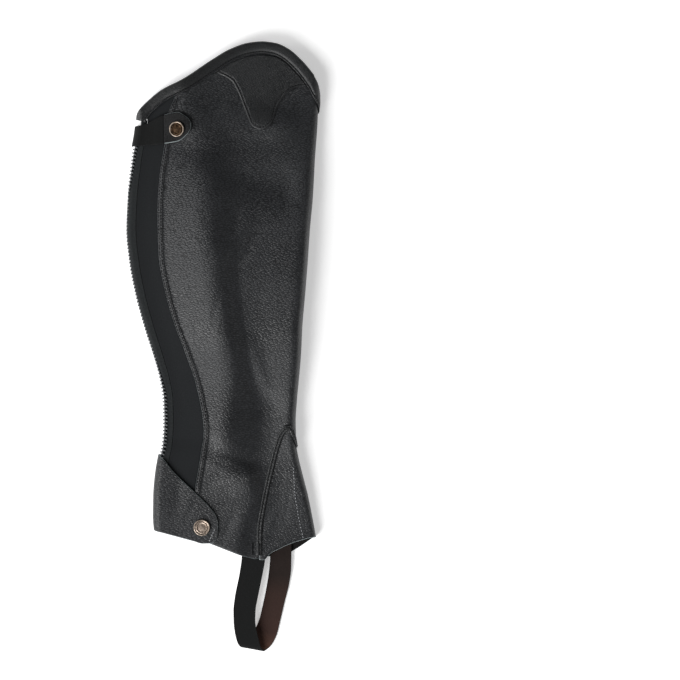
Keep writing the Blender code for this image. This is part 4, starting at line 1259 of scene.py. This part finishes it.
patch_places = np.linspace(-8.6, 77.5, 90)
patch_low = read(PATCH_EDGE, "up", patch_places)
top_slope = np.gradient(read(OUTER_TOP, "up", patch_places), patch_places)
below_top = (BINDING_WIDTH + PATCH_BELOW_BINDING) * np.hypot(1, top_slope)
patch_high = read(OUTER_TOP, "up", patch_places) - below_top
patch_low = np.minimum(patch_low, patch_high - 1.0)
patch_up = spread(patch_low, patch_high, 60)
patch_round = np.broadcast_to(patch_places[None, :], patch_up.shape)
low_slope = np.hypot(1, np.gradient(patch_low, patch_places))
from_edge = (patch_up - patch_low) / low_slope
patch_out = GAP + PATCH_LEATHER - 0.35 * np.exp(-(((from_edge - PATCH_STITCH) / 0.7) ** 2))
patch_out = patch_out - 0.5 * (1 - soft(from_edge / 1.4))
patch = sheet_piece(
    "peak_patch",
    patch_round,
    patch_up,
    skin(patch_round, patch_up, patch_out),
    skin(patch_round, patch_up, GAP),
    (binding_hide, lining_cloth, binding_hide),
    rounding=0.3,
)
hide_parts("knee_patch")
patch_line = np.linspace(-1.0, 72.0, 500)
line_low = read(PATCH_EDGE, "up", patch_line)
line_slope = np.hypot(1, np.gradient(line_low, patch_line))
patch_row = (patch_line, line_low + PATCH_STITCH * line_slope, GAP + PATCH_LEATHER - 0.22)
patch_stitches = stitch_row("patch_stitches", *patch_row, pitch=2.6, length=2.0, thread=0.28)

# %% [markdown]
# ## The snap tab
# An elastic tab comes round the back over the top of the zip, and ends in a rounded piece of
# thick leather with a pale cut edge, which carries the upper snap.

# %% The tab's elastic and its leather end
HIDDEN_END = 0.6 * MM  # the cut end that touches the next piece has the grain's finish

tab_start = zip_start(200.0) - math.radians(TAB_END_TURN) * BACK_BEND
tab_columns = np.linspace(tab_start, TAB_TIP_START - GAP, 50)
tip_columns = joined((TAB_TIP_START, -35.0, 24), (-35.0, -29.6, 16))
tab_finishes, tip_finishes = (strap_elastic,) * 3, (tab_hide, tab_hide, pale_edge)
tab_pieces = []
for name, node, places, thickness, finishes, slot in (
    ("tab_elastic", "tab_strap", tab_columns, TAB_ELASTIC, tab_finishes, "elastic"),
    ("tab_leather_end", "tab_tip", tip_columns, TAB_LEATHER, tip_finishes, "smooth_leather"),
):
    tab_up = spread(read(TAB_BOTTOM, "up", places), read(TAB_TOP, "up", places), 26)
    tab_round = np.broadcast_to(places[None, :], tab_up.shape)
    tab = panel_piece(name, tab_round, tab_up, thickness, finishes, out=TAB_REST + thickness)
    inner_end = min(face.center.x for face in tab.data.polygons) + HIDDEN_END
    for face in tab.data.polygons:
        if face.center.x < inner_end:
            face.material_index = 0
    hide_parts(node)
    tab_pieces.append((tab, tab_round, tab_up))

# %% [markdown]
# ## The ankle flap
# The flap starts at the inner zip seam, just above the hem, passes round the zip and is snapped to
# the outer side. Its leather is only cut, so a pale line follows its edge, and one short row of
# pale stitches crosses its tip.

# %% The ankle flap
flap_share = joined((0.0, 0.34, 26), (0.34, 0.9, 34), (0.9, 1.0, 16))


def flap_around(up):
    """From the inner seam, round the zip, to the flap's tip."""
    return inner_seam(up) + (FLAP_TIP - inner_seam(up)) * flap_share


def flap_edge(outline, guess):
    """Where the flap's columns meet its lower or upper outline."""
    return meet(lambda around, up: read(outline, "up", around), flap_around, guess + 0 * flap_share)


flap_up = spread(flap_edge(FLAP_BOTTOM, -170.0), flap_edge(FLAP_TOP, -130.0), 44)
flap_round = flap_around(flap_up)
flap_finishes = (milled_hide, lining_cloth, pale_edge)
flap_out = GAP + FLAP_LEATHER
flap = panel_piece("ankle_flap_leather", flap_round, flap_up, FLAP_LEATHER, flap_finishes, out=flap_out)
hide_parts("ankle_flap")
flap_row = (np.linspace(-7.7, -12.6, 60), np.linspace(-169.9, -181.0, 60), flap_out + 0.1)
flap_stitches = stitch_row("flap_stitches", *flap_row, finish=pale_thread, pitch=2.6, length=2.1)

# %% [markdown]
# ## The instep gusset and its welt
# The gusset is a wedge that lets the hem spread over the boot. A double-sewn welt covers its
# seam, and one row of pale stitches runs down it, near the shin.

# %% The gusset
gusset_rows = np.linspace(0.0, 1.0, 60) ** 0.85
gusset_share = np.linspace(0.0, 1.0, 64)


def gusset_around(up):
    """From the outer seam, over the shin, to the inner one."""
    left = read(GUSSET_OUTER, "around", up) + GAP / 2
    right = read(GUSSET_INNER, "around", up) - GAP / 2
    return left + (right - left) * gusset_share


gusset_low = meet(hem_edge, gusset_around, np.full_like(gusset_share, -185.0))
gusset_up = gusset_low[None, :] + (GUSSET_APEX - 2.0 - gusset_low[None, :]) * gusset_rows[:, None]
gusset_round = gusset_around(gusset_up)
gusset_finishes = (milled_hide, backing_cloth, pale_edge)
gusset = panel_piece("gusset_leather", gusset_round, gusset_up, LEATHER, gusset_finishes)
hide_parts("instep_gusset")

# %% The pale stitches down the gusset
PALE_ROW = table(
    "up      around",
    (-180.5, 74.9), (-155.3, 69.6), (-134.7, 66.7), (-111.7, 65.5),
)
pale_up = np.linspace(-179.5, -112.5, 300)
pale_row = (read(PALE_ROW, "around", pale_up), pale_up, 0.08)
pale_look = {"finish": pale_thread, "pitch": 3.1, "length": 1.7, "thread": 0.3}
pale_stitches = stitch_row("gusset_stitches", *pale_row, **pale_look)

# %% The welt over the gusset's seam
left_up = np.concatenate([np.linspace(-195, -89, 60), np.linspace(-87, -78, 8)])
right_up = np.linspace(-78, -93, 10)
left, right = read(GUSSET_OUTER, "around", left_up), read(GUSSET_INNER, "around", right_up)
welt_round = np.concatenate([left, [59.0, 62.0], right])
welt_up = np.concatenate([left_up, [GUSSET_APEX - 0.4, GUSSET_APEX + 0.4], right_up])
run, climb = np.gradient(welt_round), np.gradient(welt_up)
welt_step = np.hypot(run, climb)
welt_length = np.cumsum(welt_step)
ridge = 1 - 0.6 * soft((welt_round - 64) / 8)
half = WELT_WIDTH / 2
WELT_SECTION = (
    (-1.0, 0.0), (1.0, 0.0), (1.0, 0.45), (0.85, 0.75), (0.6, 1.0), (0.36, 0.98), (0.16, 0.55),
    (0.0, 0.4), (-0.16, 0.55), (-0.36, 0.98), (-0.6, 1.0), (-0.85, 0.75), (-1.0, 0.45),
)


def welt_line(aside):
    """A line beside the seam, `aside` times half the welt's width away."""
    return welt_round + aside * half * climb / welt_step, welt_up - aside * half * run / welt_step


welt_rings = []
for aside, rise in WELT_SECTION:
    welt_rings.append(skin(*welt_line(aside), WELT_REST + rise * WELT_HEIGHT * ridge))
welt_cut = band_cut(welt_length, [aside * half for aside, _ in WELT_SECTION])
welt = loft("gusset_welt", np.stack(welt_rings, axis=1), [binding_hide], welt_cut)
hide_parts("instep_welt")
welt_row = (*welt_line(0.0), WELT_REST + 0.5 * WELT_HEIGHT)
welt_stitches = stitch_row("welt_stitches", *welt_row, pitch=2.8, length=2.1, thread=0.3)

# %% [markdown]
# ## Bar tacks
# Where the foot strap is sewn in behind the hem, two short bar tacks hold it. A bar tack is a
# dense zigzag, so it looks like a small raised rib of thread.

# %% Two bar tacks
TACK_THREAD = {"finish": tack_thread_painted_highlight, "pitch": 0.75, "length": 0.7, "thread": 1.2}

tack_up = np.linspace(-195.0, -184.0, 60)
for name, tack_round, out in (
    ("bar_tack_1", 26.6, 0.35),
    ("bar_tack_2", 33.0, WELT_REST + WELT_HEIGHT + 0.1),
):
    stitch_row(name, np.full_like(tack_up, tack_round), tack_up, out, **TACK_THREAD)

# %% [markdown]
# ## The strap under the foot
# A band of elastic hangs from the hem, passes under the boot and comes up on the other side. Laid
# flat it folds over on itself: its black face shows on the near half and its brown face on the
# far half. It is one band, with a thicker selvedge along both edges and fine ribs between them.
# Its brown face is painted darker where it comes out from under the hem, as painted shadow, and paler
# where it turns, as a painted highlight, so its colour changes along its length.

# %% The foot strap
STRAP_STEPS = 200
STRAP_RIBS = 20
SELVEDGE = (0.16, 0.09)  # how much thicker it is, and how much of the width it takes


def strap_edge(side):
    """One edge of the strap, as points at even steps through the rows of its table."""
    rows = len(STIRRUP["z"])
    numbered = {"row": np.arange(rows, dtype=float), **STIRRUP}
    at = np.linspace(0, rows - 1, STRAP_STEPS)
    return np.stack([read(numbered, name, at) for name in (f"{side}_x", f"{side}_y", "z")], axis=-1)


strap_left, strap_right = strap_edge("left"), strap_edge("right")
ribs_across = np.linspace(0.0, 1.0, 2 * STRAP_RIBS + 1)
strap_path = np.gradient((strap_left + strap_right) / 2, axis=0)
strap_out = unit(np.cross(strap_right - strap_left, strap_path))
strap_length = np.cumsum(np.linalg.norm(strap_path, axis=-1))
strap_width = float(np.linalg.norm(strap_right - strap_left, axis=-1).mean())
selvedge = 1 - SELVEDGE[0] * soft(np.minimum(ribs_across, 1 - ribs_across) / SELVEDGE[1])
ribs = selvedge + 0.07 * np.cos(2 * math.pi * ribs_across * STRAP_RIBS)
half_thick = STIRRUP_THICKNESS / 2 * ribs
across = ribs_across[None, :, None]
middle_line = strap_left[:, None, :] * (1 - across) + strap_right[:, None, :] * across
offset = strap_out[:, None, :] * half_thick[None, :, None]
strap_faces = (middle_line - offset, middle_line + offset)
strap_round = np.broadcast_to(ribs_across * strap_width, middle_line.shape[:2])
strap_up = np.broadcast_to(strap_length[:, None], strap_round.shape)
strap_finishes = (strap_elastic, strap_inside, strap_elastic)
strap = sheet_piece("foot_strap", strap_round, strap_up, *strap_faces, strap_finishes, rounding=0.3)
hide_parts("stirrup_elastic")
print(f"strap {strap_width:.1f} mm wide, {strap_length[-1]:.0f} mm long")

# %% The brown face, with painted shadow at its root and a painted highlight where it turns
# The stops from 0.46 to 0.59 are a painted highlight at the turn, and the dark stop from 0.84 on is
# painted shadow where the strap runs in under the hem.
STRAP_PAINTED_LIGHT = (
    (0.0, "33241f"),
    (0.46, "70503e"),
    (0.52, "5c4237"),
    (0.59, "3c2a25"),
    (0.76, "33241f"),
    (0.84, "191412"),
)
strap_tree = strap_inside.node_tree
strap_shader = strap_tree.nodes["Principled BSDF"]
strap_axes = add_node(strap_tree, "ShaderNodeSeparateXYZ", {"Vector": pattern_place(strap_tree)})
strap_share = {"Value": strap_axes.outputs["Y"], "From Max": float(strap_length[-1]) * MM}
strap_along = add_node(strap_tree, "ShaderNodeMapRange", strap_share).outputs["Result"]
strap_painted_light = add_node(strap_tree, "ShaderNodeValToRGB", {"Fac": strap_along}, stops=STRAP_PAINTED_LIGHT)
woven_dye = strap_shader.inputs["Base Color"].links[0].from_socket
# Socket 0 is the share of the second colour, 6 the first colour and 7 the second.
cloth_and_painted_light = {0: 0.75, 6: woven_dye, 7: strap_painted_light.outputs["Color"]}
feed(strap_shader, Base_Color=add_node(strap_tree, "ShaderNodeMix", cloth_and_painted_light, data_type="RGBA").outputs[2])
print(f"{len(STRAP_PAINTED_LIGHT)} tones along the brown face")

# %% [markdown]
# ## The snap caps
# Each cap is pressed from brass sheet: a rolled rim, a groove and a nearly flat middle with one
# low ring. It could be a cylinder with loop cuts. A profile spun round its own axis gives every
# ring at once. The rim takes the rubbed brass, and all inside it the cap's own darker one.

# %% The two caps
CAP_PROFILE = table(
    "radius  rise  dark",
    (0.90, 0.00, 1), (0.97, 0.10, 0), (1.00, 0.35, 0), (0.99, 0.62, 0), (0.955, 0.84, 0),
    (0.90, 0.93, 0), (0.845, 0.86, 0), (0.81, 0.66, 1), (0.77, 0.58, 1), (0.71, 0.58, 1),
    (0.66, 0.66, 1), (0.62, 0.68, 1), (0.58, 0.63, 1), (0.53, 0.58, 1), (0.42, 0.60, 1),
    (0.30, 0.63, 1), (0.15, 0.65, 1), (0.02, 0.66, 1),
)


def snap_cap(name, place, out, diameter, inner_brass):
    """A cap whose axis is square to the leather at its place, `out` off it."""
    radius, sides = diameter / 2, 72
    base = skin(*place, out)
    normal = unit(skin(*place, out + 1) - base)
    side = unit(np.cross([0.0, 1.0, 0.0], normal))
    turn = np.linspace(0, 2 * math.pi, sides, endpoint=False)[:, None]
    arms = np.cos(turn) * side + np.sin(turn) * np.cross(normal, side)
    rings = []
    for share, rise in zip(CAP_PROFILE["radius"], CAP_PROFILE["rise"]):
        rings.append(base + arms * radius * share + normal * SNAP_HEIGHT * rise)
    kinds = [1, 0] + [int(dark) for dark in CAP_PROFILE["dark"][:-1] for _ in range(sides)]
    faces = ring_faces(len(rings), sides)
    made = make_mesh(name, np.concatenate(rings), faces, [rubbed_brass, inner_brass], kinds)
    print(f"{name}: {diameter} mm across")
    return made


on_tab, on_flap = TAB_REST + TAB_LEATHER + GAP, 2 * GAP + FLAP_LEATHER
tab_cap = snap_cap("tab_snap_cap", TAB_SNAP, on_tab, SNAP_DIAMETER - 1, dark_brass)
ankle_cap = snap_cap("ankle_snap_cap", ANKLE_SNAP, on_flap, SNAP_DIAMETER, worn_brass)
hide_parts("tab_snap")
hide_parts("ankle_snap")

# %% [markdown]
# ## What is a sheet of what size
# Each soft panel's flat size is printed, the size a real maker would cut. The widths below are all
# the way round, and the areas are those of the cut outlines. What is sewn or snapped on rests on
# the body, which is folded into the tube.


def declare(made, around, up, held="laid", rests_on=()):
    width, length = float(np.ptp(around)) * MM, float(np.ptp(up)) * MM
    area = min(cut_area(np.asarray(around), np.asarray(up)), width * length)
    print(f"{made.name}: {width * 1000:.0f} x {length * 1000:.0f} mm, {area * 10000:.0f} cm2")


declare(body, body_round, body_up, held="folded")
declare(elastic, *elastic_at, rests_on=["body_leather"])
declare(lining, lining_round, lining_up, rests_on=["body_leather"])
declare(patch, patch_round, patch_up, rests_on=["body_leather"])
declare(flap, flap_round, flap_up, held="folded", rests_on=["body_leather"])
declare(gusset, gusset_round, gusset_up, held="folded", rests_on=["body_leather"])
for tab, tab_round, tab_up in tab_pieces:
    declare(tab, tab_round, tab_up, rests_on=["body_leather"])
declare(strap, strap_round, strap_up, held="folded", rests_on=["body_leather"])

# %% [markdown]
# ## The table and the light
# The piece lies on a sheet of white acrylic that is lit from below, as for a product photo, so
# its shadow stays pale. One broad window stands on the zip side, towards the foot, so slopes that
# face it are brighter. A faint one on the shin side and a low strip beside the zip fill the rest.

# %% The lit surface
SURFACE_HALF = 3.0  # metres
SURFACE_BELOW = 0.2 * MM

surface_mesh = bpy.data.meshes.new("table_surface")
quarters = ((-1, -1), (1, -1), (1, 1), (-1, 1))
surface_corners = [(SURFACE_HALF * x, SURFACE_HALF * y, 0.0) for x, y in quarters]
surface_mesh.from_pydata(surface_corners, [], [(0, 1, 2, 3)])
glow = {"Emission_Color": colour("ffffff"), "Emission_Strength": 0.4}
surface_mesh.materials.append(one_colour("lit_white_acrylic", "fcfcfc", Roughness=0.9, **glow))
surface = bpy.data.objects.new("table_surface", surface_mesh)
surface.location.z = -SURFACE_BELOW
bpy.context.scene.collection.objects.link(surface)
surface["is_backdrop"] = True
print("surface", surface_mesh.materials[0].name)


# %% Soft lights
LIT_MIDDLE = Vector((0.05, 0.0, 0.0))


def soft_light(name, place, size, power):
    """A rectangular light at a place in metres, turned to the middle of the piece."""
    data = bpy.data.lights.new(name, "AREA")
    data.shape = "RECTANGLE"
    data.size, data.size_y = size
    data.energy = power
    lamp = bpy.data.objects.new(name, data)
    lamp.location = place
    lamp.rotation_euler = (LIT_MIDDLE - Vector(place)).to_track_quat("-Z", "Y").to_euler()
    bpy.context.scene.collection.objects.link(lamp)


soft_light("zip_side_window", (-2.2, -2.15, 2.4), (2.0, 2.8), 192)
soft_light("shin_side_window", (1.5, -0.1, 1.2), (0.9, 1.4), 5)
soft_light("low_strip", (-1.5, 0.35, 0.55), (0.4, 1.4), 10)
world = bpy.data.worlds.new("studio")
world.use_nodes = True
surround = world.node_tree.nodes["Background"]
surround.inputs["Color"].default_value = colour("ffffff")
surround.inputs["Strength"].default_value = 0.1
bpy.context.scene.world = world
# The Standard transform keeps the hex colours as they are written, so the surface stays white.
bpy.context.scene.view_settings.view_transform = "Standard"
print("three lights and a pale surround")

# %% The two boxes
low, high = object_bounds()
boxes = {"cad": [list(cad_low), list(cad_high)], "visual": [list(low), list(high)]}
for name, (corner, far_corner) in boxes.items():
    print(name, [round((b - a) * 1000, 1) for a, b in zip(corner, far_corner)], "mm")
